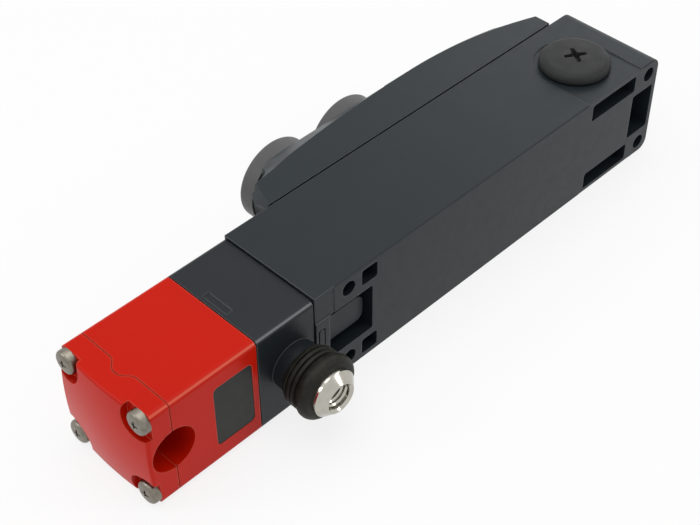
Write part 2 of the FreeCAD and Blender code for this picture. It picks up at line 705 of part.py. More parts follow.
def cover_screws():
    """Screws at the bottom of the cups in the front cover."""
    screw = pan_screw(COVER_SCREW_D, COVER_SCREW_SEAT + COVER_GASKET + COVER_SCREW_GRIP, COVER_SCREW_HEAD_R,
                      COVER_SCREW_HEAD_HEIGHT, COVER_SCREW_HEAD_HEIGHT / 3,
                      (SCREW_CROSS_LENGTH, SCREW_CROSS_WIDTH, SCREW_CROSS_DEPTH))
    return group([place(screw, Vector(x, COVER_Y0 + COVER_SCREW_SEAT, z), Vector(0, 1, 0))
                  for x, z in cover_screw_places()])


def split_side():
    """Everything on the cap's side of the wavy joint between cap and head."""
    far_x = BORE_X - 3 * CAP_LENGTH
    y_low = HEAD_Y0 - CUT
    y_high = HEAD_Y1 + CUT
    half_w = TONGUE_HALF_WIDTH / 2
    half_h = TONGUE_HEIGHT / 2
    radius = (half_w * half_w + half_h * half_h) / (2 * half_h)
    tip = Vector(BORE_X - TONGUE_HEIGHT, LOCK_Y, 0)
    bends = []
    for side in (-1, 1):
        root = Vector(BORE_X, LOCK_Y + side * TONGUE_HALF_WIDTH, 0)
        turn = Vector(BORE_X - half_h, LOCK_Y + side * half_w, 0)
        half_angle = math.asin(half_w / radius) / 2
        bow = Vector(-radius * (1 - math.cos(half_angle)), -side * radius * math.sin(half_angle), 0)
        bends.append((root, root + bow, turn))
    (root_low, bow_low, turn_low), (root_high, bow_high, turn_high) = bends
    path = [Part.LineSegment(Vector(far_x, y_low, 0), Vector(BORE_X, y_low, 0)),
            Part.LineSegment(Vector(BORE_X, y_low, 0), root_low),
            Part.Arc(root_low, bow_low, turn_low),
            Part.Arc(turn_low, tip, turn_high),
            Part.Arc(turn_high, bow_high, root_high),
            Part.LineSegment(root_high, Vector(BORE_X, y_high, 0)),
            Part.LineSegment(Vector(BORE_X, y_high, 0), Vector(far_x, y_high, 0)),
            Part.LineSegment(Vector(far_x, y_high, 0), Vector(far_x, y_low, 0))]
    face = Part.Face(Part.Wire([p.toShape() for p in path]))
    face.translate(Vector(0, 0, -HEAD_WIDTH))
    return face.extrude(Vector(0, 0, 2 * HEAD_WIDTH))


def head_blank():
    """Outer form of cap and head in one: rounded block with a crowned front."""
    blank = slab(BORE_X - CAP_LENGTH, HEAD_X1, HEAD_Y0, HEAD_Y1, HEAD_HALF)
    blank = blank.makeFillet(HEAD_EDGE_R, edges_along(blank, "x"))
    crown_r = (HEAD_HALF * HEAD_HALF + CAP_CROWN * CAP_CROWN) / (2 * CAP_CROWN)
    crown = Part.makeSphere(crown_r, Vector(BORE_X - CAP_LENGTH + crown_r, LOCK_Y, 0))
    blank = blank.common(crown)
    rim = [e for e in blank.Edges if e.BoundBox.XMax < BORE_X]
    return blank.makeFillet(CAP_RIM_R, rim)


def actuator_bore():
    """Blind round hole across the joint of cap and head."""
    return rod_y(HEAD_Y0 - CUT, HEAD_Y0 + ACTUATOR_BORE_DEPTH, ACTUATOR_BORE_R, BORE_X)


def head_cap():
    """Red end cap with four open corner pockets for its screws."""
    cap = head_blank().common(split_side())
    cuts = [actuator_bore()]
    for y, z in head_screw_places():
        cuts.append(rod_x(BORE_X - 2 * CAP_LENGTH, SCREW_FLOOR_X, SCREW_POCKET_R, y, z))
        cuts.append(rod_x(BORE_X - 2 * CAP_LENGTH, BORE_X + CUT, HEAD_SCREW_D / 2 + SCREW_CLEARANCE, y, z))
    return cap.cut(cuts).removeSplitter()


def window_pocket(clearance, depth, rim):
    """Rounded recess in the back of the head, drawn in by rim."""
    x0 = BORE_X + WINDOW_START + rim - clearance
    x1 = BORE_X + WINDOW_START + WINDOW_LENGTH - rim + clearance
    half = WINDOW_WIDTH / 2 - rim + clearance
    return rounded_pocket(x0, x1, HEAD_Y0 - CUT, HEAD_Y0 + depth, -half, half, WINDOW_CORNER_R)


def head_body():
    """Red head with the bolt's way, the window and antenna recess and the screw holes."""
    body = head_blank().cut(split_side())
    groove = split_side()
    groove.translate(Vector(SPLIT_GROOVE, 0, 0))
    core = slab(BORE_X - CAP_LENGTH, HEAD_X1, HEAD_Y0 + SPLIT_GROOVE_DEPTH, HEAD_Y1 - SPLIT_GROOVE_DEPTH,
                HEAD_HALF - SPLIT_GROOVE_DEPTH)
    cuts = [groove.cut(core), actuator_bore()]
    cuts.append(rod_x(BORE_X, BORE_X + BUSH_START + CUT, BOLT_D / 2 + BOLT_PORT_CLEARANCE))
    cuts.append(rod_x(BORE_X + BUSH_START, HEAD_X1 + CUT, bush_r() + SEAT_FIT))
    sink = WINDOW_SINK + WINDOW_THICKNESS
    cuts.append(window_pocket(SEAT_FIT, sink, 0))
    cuts.append(window_pocket(0, sink + ANTENNA_DEPTH, ANTENNA_RIM))
    for y, z in head_screw_places():
        cuts.append(rod_x(BORE_X - CAP_LENGTH, HEAD_X1 + CUT, HEAD_SCREW_D / 2 + SCREW_CLEARANCE, y, z))
    return body.cut(cuts).removeSplitter()


def bush_r():
    """Outer radius of the bolt's bush."""
    return BOLT_D / 2 + BUSH_WALL


def head_screws():
    """Four long pan head screws that clamp cap, head and module to the housing."""
    length = HOUSING_X0 + HEAD_SCREW_GRIP - SCREW_FLOOR_X
    screw = pan_screw(HEAD_SCREW_D, length, HEAD_SCREW_HEAD_D / 2, HEAD_SCREW_HEAD_HEIGHT, HEAD_SCREW_DOME,
                      (SCREW_CROSS_LENGTH, SCREW_CROSS_WIDTH, SCREW_CROSS_DEPTH))
    return group([place(screw, Vector(SCREW_FLOOR_X, y, z), Vector(-1, 0, 0)) for y, z in head_screw_places()])


def rfid_window():
    """Dark plastic window let into the back of the head."""
    pane = window_pocket(0, WINDOW_SINK + WINDOW_THICKNESS, 0)
    return pane.cut(slab(BORE_X, HEAD_X1, HEAD_Y0 - 2 * CUT, HEAD_Y0 + WINDOW_SINK, HEAD_HALF))


def antenna_board():
    """Small circuit board at the bottom of the antenna recess."""
    floor = HEAD_Y0 + WINDOW_SINK + WINDOW_THICKNESS + ANTENNA_DEPTH
    board = window_pocket(-2 * SEAT_FIT, floor - HEAD_Y0, ANTENNA_RIM)
    return board.cut(slab(BORE_X, HEAD_X1, HEAD_Y0 - 2 * CUT, floor - ANTENNA_BOARD_THICKNESS, HEAD_HALF))


def antenna_coil():
    """Flat wound coil on the antenna board, behind the window."""
    top = WINDOW_SINK + WINDOW_THICKNESS + ANTENNA_DEPTH - ANTENNA_BOARD_THICKNESS
    rim = ANTENNA_RIM + 2 * SEAT_FIT
    coil = window_pocket(-2 * SEAT_FIT, top, rim)
    coil = coil.cut(window_pocket(-2 * SEAT_FIT, top + CUT, rim + ANTENNA_COIL_WIDTH))
    return coil.cut(slab(BORE_X, HEAD_X1, HEAD_Y0 - 2 * CUT, HEAD_Y0 + top - ANTENNA_COIL_THICKNESS, HEAD_HALF))


def bolt_bush():
    """Bearing bush that guides the locking bolt in the head."""
    return ring_x(BORE_X + BUSH_START, HEAD_X1, BOLT_D / 2 + RUNNING_FIT, bush_r())


def head_gasket():
    """Seal between the head and the release module."""
    sheet = slab(HEAD_X1, MODULE_X0, HEAD_Y0 + SEAM_INSET, HEAD_Y1 - SEAM_INSET, HEAD_HALF - SEAM_INSET)
    holes = [rod_x(HEAD_X1 - CUT, MODULE_X0 + CUT, BOLT_D / 2)]
    for y, z in head_screw_places():
        holes.append(rod_x(HEAD_X1 - CUT, MODULE_X0 + CUT, HEAD_SCREW_D / 2 + SCREW_CLEARANCE, y, z))
    return sheet.cut(holes)


def module_gasket():
    """Seal between the release module and the housing."""
    sheet = slab(MODULE_X1, HOUSING_X0, HEAD_Y0 + SEAM_INSET, HEAD_Y1 - SEAM_INSET, HEAD_HALF - SEAM_INSET)
    holes = [slab(MODULE_X1 - CUT, HOUSING_X0 + CUT, CHAMBER_Y0, CHAMBER_Y1, CHAMBER_HALF_WIDTH)]
    for y, z in head_screw_places():
        holes.append(rod_x(MODULE_X1 - CUT, HOUSING_X0 + CUT, HEAD_SCREW_D / 2 + SCREW_CLEARANCE, y, z))
    return sheet.cut(holes)


def release_module():
    """Grey module between head and housing, with the boss of the escape release."""
    body = slab(MODULE_X0, MODULE_X1, HEAD_Y0, HEAD_Y1, HEAD_HALF)
    body = body.makeFillet(HEAD_EDGE_R, edges_along(body, "x"))
    body = body.fuse(rod_y(BOSS_END_Y, HEAD_Y0 + CUT, RELEASE_BOSS_D / 2, STEM_X))
    chamber_x0 = MODULE_X0 + CHAMBER_WALL
    cuts = [slab(chamber_x0, MODULE_X1 + CUT, CHAMBER_Y0, CHAMBER_Y1, CHAMBER_HALF_WIDTH)]
    cuts.append(rod_x(MODULE_X0 - CUT, chamber_x0 + CUT, ROD_D / 2 + ROD_PORT_CLEARANCE))
    cuts.append(rod_y(BOSS_END_Y - CUT, CHAMBER_Y0 + CUT, stem_bush_r() + SEAT_FIT, STEM_X))
    cuts.append(rod_y(CHAMBER_Y1 - CUT, HEAD_Y1 + CUT, AUX_SHAFT_R + RUNNING_FIT, STEM_X))
    cuts.append(rod_y(aux_seat_y(), HEAD_Y1 + CUT, AUX_HEAD_R + RUNNING_FIT, STEM_X))
    for y, z in head_screw_places():
        cuts.append(rod_x(MODULE_X0 - CUT, MODULE_X1 + CUT, HEAD_SCREW_D / 2 + SCREW_CLEARANCE, y, z))
    mark_x = MODULE_X0 + SIDE_MARK_START
    mark_y = LOCK_Y - SIDE_MARK_WIDTH / 2
    cuts.append(block(mark_x, mark_x + SIDE_MARK_LENGTH, mark_y, mark_y + SIDE_MARK_WIDTH,
                      HEAD_HALF - SIDE_MARK_DEPTH, HEAD_HALF + CUT))
    return body.cut(cuts).removeSplitter()


def stem_bush_r():
    """Outer radius of the stem's bush."""
    return STEM_D / 2 + STEM_BUSH_WALL


def stem_bush():
    """Flanged bush that guides the release stem in its boss."""
    tube = ring_y(BOSS_END_Y, CHAMBER_Y0, STEM_D / 2 + RUNNING_FIT, stem_bush_r(), STEM_X)
    flange = ring_y(CHAMBER_Y0, CHAMBER_Y0 + STEM_BUSH_FLANGE, STEM_D / 2 + RUNNING_FIT,
                    stem_bush_r() + STEM_BUSH_RIM, STEM_X)
    return tube.fuse(flange).removeSplitter()


def release_stem():
    """Nickel plated stem with a coned head and a threaded hole for a knob."""
    cone = (STEM_HEAD_D - STEM_FACE_D) / 2
    rim_y = STEM_FACE_Y + cone
    core_r = STEM_THREAD_CORE_D / 2
    profile = [(0, STEM_INNER_END), (STEM_D / 2, STEM_INNER_END), (STEM_D / 2, rim_y + STEM_HEAD_RIM),
               (STEM_HEAD_D / 2, rim_y + STEM_HEAD_RIM), (STEM_HEAD_D / 2, rim_y),
               (STEM_FACE_D / 2, STEM_FACE_Y), (core_r + STEM_THREAD_CHAMFER, STEM_FACE_Y),
               (core_r, STEM_FACE_Y + STEM_THREAD_CHAMFER),
               (core_r, STEM_FACE_Y + STEM_THREAD_DEPTH), (0, STEM_FACE_Y + STEM_THREAD_DEPTH)]
    stem = turned_y(profile, STEM_X)
    groove_y = stem_clip_y()
    groove_r = STEM_D / 2 - STEM_CLIP_SINK
    return stem.cut(ring_y(groove_y, groove_y + STEM_CLIP_THICKNESS, groove_r, STEM_D, STEM_X))


def stem_clip_y():
    """Where the stem's clip rests against the bush."""
    return CHAMBER_Y0 + STEM_BUSH_FLANGE + RUNNING_FIT


def stem_clip():
    """Open retaining ring that keeps the stem from pulling out."""
    y0 = stem_clip_y()
    inner_r = STEM_D / 2 - STEM_CLIP_SINK
    ring = ring_y(y0, y0 + STEM_CLIP_THICKNESS, inner_r, STEM_D / 2 + STEM_CLIP_RING, STEM_X)
    return ring.cut(block(STEM_X, STEM_X + STEM_D, y0 - CUT, y0 + CUT + STEM_CLIP_THICKNESS,
                          -STEM_CLIP_RING, STEM_CLIP_RING))


def release_bellows():
    """Ribbed rubber bellows between the boss and the head of the stem."""
    start = BOSS_END_Y + BELLOWS_LAP
    end = STEM_FACE_Y + (STEM_HEAD_D - STEM_FACE_D) / 2 + STEM_HEAD_RIM
    profile = [(RELEASE_BOSS_D / 2, start)]
    y = start
    for rib in range(BELLOWS_RIBS):
        profile.append((BELLOWS_VALLEY_R, y))
        profile.append((BELLOWS_RIB_R, y - BELLOWS_RIB_PITCH * 0.3))
        profile.append((BELLOWS_RIB_R, y - BELLOWS_RIB_PITCH * 0.6))
        y -= BELLOWS_RIB_PITCH
    profile.append((BELLOWS_VALLEY_R, y))
    profile.append((BELLOWS_RING_R, y - BELLOWS_RIB_PITCH * 0.3))
    round_steps = 3
    for step in range(round_steps + 1):
        angle = step / round_steps * math.pi / 2
        profile.append((BELLOWS_RING_R - BELLOWS_RING_ROUND * (1 - math.cos(angle)),
                        end + BELLOWS_RING_ROUND * (1 - math.sin(angle))))
    profile.append((STEM_D / 2 + BELLOWS_STEM_GAP, end))
    profile.append((STEM_D / 2 + BELLOWS_STEM_GAP, end + BELLOWS_LIP))
    profile.append((RELEASE_BOSS_D / 2, end + BELLOWS_LIP + BELLOWS_WALL))
    return turned_y(profile, STEM_X)


def aux_seat_y():
    """Floor of the counterbore of the auxiliary release."""
    return HEAD_Y1 - AUX_SINK - AUX_HEAD_THICKNESS - AUX_SEAL_THICKNESS


def aux_release():
    """Slotted rotor flush with the front of the module, with an eccentric pin inside."""
    head_y = aux_seat_y() + AUX_SEAL_THICKNESS
    front = HEAD_Y1 - AUX_SINK
    shaft_end = CHAMBER_Y1 - AUX_SHAFT_END
    rotor = rod_y(head_y, front, AUX_HEAD_R, STEM_X).fuse(rod_y(shaft_end, head_y, AUX_SHAFT_R, STEM_X))
    rotor = rotor.fuse(rod_y(shaft_end - AUX_PIN_LENGTH, shaft_end, AUX_PIN_R, STEM_X, AUX_PIN_OFFSET))
    slot = block(STEM_X - AUX_HEAD_R, STEM_X + AUX_HEAD_R, front - AUX_SLOT_DEPTH, front + CUT,
                 -AUX_SLOT_WIDTH / 2, AUX_SLOT_WIDTH / 2)
    groove = ring_y(aux_clip_y(), aux_clip_y() + AUX_CLIP_THICKNESS, AUX_SHAFT_R - STEM_CLIP_SINK,
                    AUX_HEAD_R, STEM_X)
    return rotor.cut([slot, groove]).removeSplitter()


def aux_clip_y():
    """Where the clip of the auxiliary release sits on its shaft."""
    return CHAMBER_Y1 - RUNNING_FIT - AUX_CLIP_THICKNESS


def aux_clip():
    """Open retaining ring on the inner end of the auxiliary release."""
    y0 = aux_clip_y()
    ring = ring_y(y0, y0 + AUX_CLIP_THICKNESS, AUX_SHAFT_R - STEM_CLIP_SINK, AUX_CLIP_R, STEM_X)
    return ring.cut(block(STEM_X, STEM_X + AUX_CLIP_R + CUT, y0 - CUT, y0 + AUX_CLIP_THICKNESS + CUT,
                          -STEM_CLIP_RING, STEM_CLIP_RING))


def aux_seal():
    """Sealing ring under the head of the auxiliary release."""
    y0 = aux_seat_y()
    return ring_y(y0, y0 + AUX_SEAL_THICKNESS, AUX_SHAFT_R + RUNNING_FIT, AUX_HEAD_R, STEM_X)


def lock_bolt():
    """Steel locking bolt, retracted, with a chamfered tip and a socket for the rod."""
    x0 = BORE_X + BOLT_TIP
    x1 = x0 + BOLT_LENGTH
    bolt = rod_x(x0, x1, BOLT_D / 2)
    bolt = bolt.makeChamfer(BOLT_CHAMFER, edges_at(bolt, "x", x0))
    return bolt.cut(rod_x(x1 - BOLT_SOCKET, x1 + CUT, ROD_D / 2))


def lock_rod():
    """Rod from the locking bolt to the solenoid's plunger."""
    return rod_x(BORE_X + BOLT_TIP + BOLT_LENGTH - BOLT_SOCKET, PLUNGER_X0 + BOLT_SOCKET, ROD_D / 2)


def release_collar():
    """Collar on the rod that the release stem acts on."""
    x0 = BORE_X + COLLAR_START
    collar = rod_x(x0, x0 + COLLAR_LENGTH, COLLAR_R)
    collar = collar.makeChamfer(COLLAR_LENGTH / 4, edges_at(collar, "x", x0))
    return collar.cut(rod_x(x0 - CUT, x0 + COLLAR_LENGTH + CUT, ROD_D / 2))


def rod_guide():
    """Flanged plastic guide of the rod in the housing's end wall."""
    x1 = HOUSING_X0 + HOUSING_END_WALL
    guide = ring_x(HOUSING_X0, x1, ROD_D / 2 + RUNNING_FIT, GUIDE_R)
    flange = ring_x(x1, x1 + GUIDE_FLANGE, ROD_D / 2 + RUNNING_FIT, GUIDE_FLANGE_R)
    return guide.fuse(flange).removeSplitter()


def yoke_screw_xs():
    """X of the two screws that hold the solenoid's yoke."""
    return (YOKE_X0 - YOKE_FLANGE / 2, YOKE_X1 + YOKE_FLANGE / 2)


def solenoid_yoke():
    """Folded steel frame: foot with two upright end plates."""
    foot_y1 = YOKE_Y0 + YOKE_PLATE
    foot = slab(YOKE_X0 - YOKE_FLANGE, YOKE_X1 + YOKE_FLANGE, YOKE_Y0, foot_y1, YOKE_HALF_WIDTH)
    plates = []
    for x0 in (YOKE_X0, YOKE_X1 - YOKE_PLATE):
        plates.append(slab(x0, x0 + YOKE_PLATE, foot_y1, BOARD_HEIGHT, YOKE_HALF_WIDTH))
    holes = [rod_x(YOKE_X0 - CUT, YOKE_X1 + CUT, PLUNGER_D / 2 + 2 * RUNNING_FIT)]
    for x in yoke_screw_xs():
        holes.append(rod_y(YOKE_Y0 - CUT, foot_y1 + CUT, SMALL_SCREW_D / 2 + SCREW_CLEARANCE, x))
    return foot.fuse(plates).cut(holes).removeSplitter()


def small_screw():
    """Small pan head screw with a plain head."""
    return pan_screw(SMALL_SCREW_D, SMALL_SCREW_GRIP, SMALL_SCREW_HEAD_R, SMALL_SCREW_HEAD_HEIGHT,
                     SMALL_SCREW_HEAD_HEIGHT / 3, None)


def yoke_screws():
    """Two screws through the yoke's foot into the housing."""
    return group([place(small_screw(), Vector(x, YOKE_Y0 + YOKE_PLATE, 0), Vector(0, 1, 0))
                  for x in yoke_screw_xs()])


def bobbin_r():
    """Outer radius of the bobbin's tube."""
    return PLUNGER_D / 2 + RUNNING_FIT + BOBBIN_WALL


def solenoid_bobbin():
    """Plastic spool between the yoke's plates."""
    x0 = YOKE_X0 + YOKE_PLATE
    x1 = YOKE_X1 - YOKE_PLATE
    tube = rod_x(x0, x1, bobbin_r())
    ends = [rod_x(x0, x0 + BOBBIN_WALL, BOBBIN_FLANGE_R), rod_x(x1 - BOBBIN_WALL, x1, BOBBIN_FLANGE_R)]
    return tube.fuse(ends).cut(rod_x(x0 - CUT, x1 + CUT, PLUNGER_D / 2 + RUNNING_FIT)).removeSplitter()


def solenoid_coil():
    """Copper winding on the bobbin."""
    margin = YOKE_PLATE + BOBBIN_WALL
    return ring_x(YOKE_X0 + margin, YOKE_X1 - margin, bobbin_r(), COIL_R)


def solenoid_core():
    """Fixed steel core in the far end of the bobbin."""
    return rod_x(YOKE_X1 - CORE_LENGTH, YOKE_X1, PLUNGER_D / 2)


def solenoid_plunger():
    """Sliding plunger with the flange that carries the lock spring."""
    flange = rod_x(PLUNGER_X0, PLUNGER_X0 + PLUNGER_FLANGE, PLUNGER_FLANGE_R)
    stem = rod_x(PLUNGER_X0, YOKE_X1 - CORE_LENGTH - PLUNGER_STROKE_GAP, PLUNGER_D / 2)
    return flange.fuse(stem).cut(rod_x(PLUNGER_X0 - CUT, PLUNGER_X0 + BOLT_SOCKET, ROD_D / 2)).removeSplitter()


def lock_spring():
    """Compression spring round the plunger, between its flange and the yoke."""
    start = PLUNGER_X0 + PLUNGER_FLANGE
    return helix_spring(Vector(start, LOCK_Y, 0), Vector(1, 0, 0), YOKE_X0 - start, LOCK_SPRING_R,
                        LOCK_SPRING_WIRE, LOCK_SPRING_TURNS)


def control_board():
    """Main circuit board on the yoke and two posts."""
    board = slab(BOARD_X0, BOARD_X0 + BOARD_LENGTH, BOARD_HEIGHT, BOARD_TOP, BOARD_HALF_WIDTH)
    holes = [rod_y(BOARD_HEIGHT - CUT, BOARD_TOP + CUT, SMALL_SCREW_D / 2 + SCREW_CLEARANCE, x, z)
             for x, z in board_post_places()]
    return board.cut(holes)


def board_screws():
    """Two screws that hold the control board."""
    screw = small_screw()
    return group([place(screw, Vector(x, BOARD_TOP, z), Vector(0, 1, 0)) for x, z in board_post_places()])


def terminal_places():
    """X and Z of every terminal pole."""
    x0 = HOUSING_X0 + TERMINAL_START + TERMINAL_PITCH / 2
    z = TERMINAL_INNER_Z + TERMINAL_WIDTH / 2
    return corners([x0 + i * TERMINAL_PITCH for i in range(TERMINAL_POLES)], (-z, z))


def terminal_blocks():
    """Two rows of screw terminals on the control board."""
    x0 = HOUSING_X0 + TERMINAL_START
    x1 = x0 + TERMINAL_POLES * TERMINAL_PITCH
    top = BOARD_TOP + TERMINAL_HEIGHT
    port_y = BOARD_TOP + TERMINAL_HEIGHT / 3
    outer_z = TERMINAL_INNER_Z + TERMINAL_WIDTH
    rows = []
    for side in (-1, 1):
        row = block(x0, x1, BOARD_TOP, top, *sorted((side * TERMINAL_INNER_Z, side * outer_z)))
        cuts = []
        for x, z in terminal_places():
            if z * side > 0:
                cuts.append(rod_y(top - TERMINAL_SCREW_DEPTH, top + CUT, TERMINAL_SCREW_R, x, z))
                ends = sorted((z, side * (outer_z + CUT)))
                cuts.append(rod_z(ends[0], ends[1], TERMINAL_PORT_R, x, port_y))
        rows.append(row.cut(cuts))
    return group(rows)


def terminal_screws():
    """Clamping screws of the terminals, slotted."""
    y0 = BOARD_TOP + TERMINAL_HEIGHT - TERMINAL_SCREW_DEPTH
    slot = TERMINAL_SCREW_R / 2
    screws = []
    for x, z in terminal_places():
        screw = rod_y(y0, y0 + 2 * TERMINAL_SCREW_R / 3, TERMINAL_SCREW_R, x, z)
        reach = TERMINAL_SCREW_R + CUT
        screws.append(screw.cut(block(x - reach, x + reach, y0 + slot, y0 + slot + CUT,
                                      z - slot / 2, z + slot / 2)))
    return group(screws)


def light_pipe_xs():
    """X of the status light pipes in the front panel."""
    return [HOUSING_X0 + LIGHT_PIPE_START + i * LIGHT_PIPE_PITCH for i in range(LIGHT_PIPE_COUNT)]


def status_light_pipes():
    """Clear rods that carry the status lights from the board to the panel."""
    y0 = BOARD_TOP + LIGHT_PIPE_GAP
    return group([rod_y(y0, PANEL_Y - LENS_SINK, LIGHT_PIPE_R, x) for x in light_pipe_xs()])


def lens_plate(clearance):
    """Block of the status lens across the panel, grown endwise by a clearance."""
    x0 = HOUSING_X0 + LENS_START
    half = PANEL_HALF_WIDTH - LENS_RIM + 2 * clearance
    return slab(x0 - clearance, x0 + LENS_LENGTH + clearance, PANEL_Y - LENS_SINK, PANEL_Y + LENS_RISE, half)


def status_lens():
    """Thin dark lens over the light pipes, let into the front panel."""
    lens = lens_plate(0)
    return lens.makeFillet(LENS_RISE / 2, edges_at(lens, "y", PANEL_Y + LENS_RISE))


def cable_plug():
    """Closing plug of the side entry, with a cross recess."""
    flange_z = PAD_Z + PLUG_SEAL_THICKNESS
    top = flange_z + PLUG_FLANGE_THICKNESS
    flange = rod_z(flange_z, top, PLUG_FLANGE_D / 2, ENTRY_X, ENTRY_HEIGHT)
    flange = flange.makeFillet(PLUG_RIM_R, edges_at(flange, "z", top))
    shank_r = ENTRY_D / 2 - SEAT_FIT
    shank = rod_z(PAD_Z - PLUG_SHANK_LENGTH, flange_z, shank_r, ENTRY_X, ENTRY_HEIGHT)
    hollow = rod_z(PAD_Z - PLUG_SHANK_LENGTH - CUT, PAD_Z, shank_r - PLUG_WALL, ENTRY_X, ENTRY_HEIGHT)
    plug = flange.fuse(shank).cut(hollow).removeSplitter()
    for turn in (PLUG_CROSS_TURN, PLUG_CROSS_TURN + 90):
        bar = block(ENTRY_X - PLUG_CROSS_LENGTH / 2, ENTRY_X + PLUG_CROSS_LENGTH / 2,
                    ENTRY_HEIGHT - PLUG_CROSS_WIDTH / 2, ENTRY_HEIGHT + PLUG_CROSS_WIDTH / 2,
                    top - PLUG_CROSS_DEPTH, top + CUT)
        bar.rotate(Vector(ENTRY_X, ENTRY_HEIGHT, 0), Vector(0, 0, 1), turn)
        plug = plug.cut(bar)
    return plug



def plug_seal():
    """Flat sealing ring under the plug's flange."""
    outer_r = PLUG_FLANGE_D / 2 - SEAM_INSET
    ring = rod_z(PAD_Z, PAD_Z + PLUG_SEAL_THICKNESS, outer_r, ENTRY_X, ENTRY_HEIGHT)
    return ring.cut(rod_z(PAD_Z - CUT, PAD_Z + PLUG_SEAL_THICKNESS + CUT, ENTRY_D / 2, ENTRY_X, ENTRY_HEIGHT))


def button_bezel(x):
    """Round bezel on the panel with the threaded tube that goes through it."""
    front = PANEL_Y + BEZEL_HEIGHT
    tube_y0 = PANEL_Y - BEZEL_TUBE_LENGTH
    bezel = rod_y(PANEL_Y, front, BEZEL_R, x)
    bezel = bezel.makeFillet(BEZEL_ROUND, edges_at(bezel, "y", front))
    bezel = bezel.fuse(rod_y(tube_y0, PANEL_Y, BEZEL_TUBE_R, x))
    ledge_r = BEZEL_TUBE_R - BEZEL_TUBE_WALL - BEZEL_LEDGE
    floor_y = tube_y0 + BEZEL_LEDGE_THICKNESS
    cuts = [rod_y(tube_y0 - CUT, front + CUT, ledge_r, x),
            rod_y(floor_y, front + CUT, BEZEL_TUBE_R - BEZEL_TUBE_WALL, x),
            rod_y(PANEL_Y + BEZEL_FLOOR, front + CUT, BUTTON_R + BUTTON_GAP, x)]
    return bezel.cut(cuts).removeSplitter()


def button_crown_y():
    """Underside of the button's crown."""
    return PANEL_Y + BEZEL_FLOOR + BUTTON_FLOOR_GAP + BUTTON_TRAVEL


def button_cap(x):
    """Flush push button with its plunger."""
    top = PANEL_Y + BEZEL_HEIGHT - BUTTON_SINK
    crown = rod_y(button_crown_y(), top, BUTTON_R, x)
    crown = crown.makeFillet(BUTTON_EDGE_R, edges_at(crown, "y", top))
    plunger_y = BOARD_TOP + CONTACT_BLOCK_HEIGHT - BUTTON_PLUNGER_DIP
    return crown.fuse(rod_y(plunger_y, button_crown_y(), BUTTON_PLUNGER_R, x)).removeSplitter()


def button_spring(x):
    """Return spring between the bezel's ledge and the button's crown."""
    y0 = PANEL_Y - BEZEL_TUBE_LENGTH + BEZEL_LEDGE_THICKNESS
    return helix_spring(Vector(x, y0, 0), Vector(0, 1, 0), button_crown_y() - y0, BUTTON_SPRING_R,
                        BUTTON_SPRING_WIRE, BUTTON_SPRING_TURNS)



def button_nut(x):
    """Ring nut that clamps the bezel's tube to the panel from inside."""
    y1 = PANEL_Y - COVER_WALL
    return ring_y(y1 - NUT_THICKNESS, y1, BEZEL_TUBE_R + SEAT_FIT, NUT_R, x)


def contact_block(x):
    """Contact block on the board under a button, with a port for its plunger."""
    half = CONTACT_BLOCK_SIZE / 2
    body = slab(x - half, x + half, BOARD_TOP, BOARD_TOP + CONTACT_BLOCK_HEIGHT, half)
    return body.cut(rod_y(BOARD_TOP + CONTACT_FLOOR, BOARD_TOP + CONTACT_BLOCK_HEIGHT + CUT, CONTACT_PORT_R, x))


def assembly():
    """Every piece by its node name."""
    pieces = [main_housing, front_cover, cover_gasket, cover_screws, release_module, module_gasket,
              head_body, head_cap, head_gasket, head_screws, rfid_window, antenna_coil,
              antenna_board, bolt_bush, rod_guide, stem_bush, aux_seal, solenoid_yoke, yoke_screws,
              solenoid_bobbin, solenoid_coil, solenoid_core, control_board, board_screws, terminal_blocks,
              terminal_screws, status_light_pipes, status_lens, cable_plug, plug_seal, lock_bolt, lock_rod,
              release_collar, solenoid_plunger, lock_spring, release_stem, stem_clip, release_bellows,
              aux_release, aux_clip]
    nodes = {piece.__name__: piece() for piece in pieces}
    for number, x in enumerate(BUTTON_XS, start=1):
        for piece in (button_bezel, button_cap, button_spring, button_nut, contact_block):
            nodes[f"{piece.__name__}_{number}"] = piece(x)
    return nodes


def main():
    """Write one STEP file for each node."""
    os.makedirs("parts", exist_ok=True)
    for name, shape in assembly().items():
        shape.exportStep(os.path.join("parts", name + ".step"))


main()
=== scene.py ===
import math

import bmesh
import bpy
from bpy.props import FloatProperty, FloatVectorProperty, IntProperty, PointerProperty
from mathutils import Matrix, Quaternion, Vector


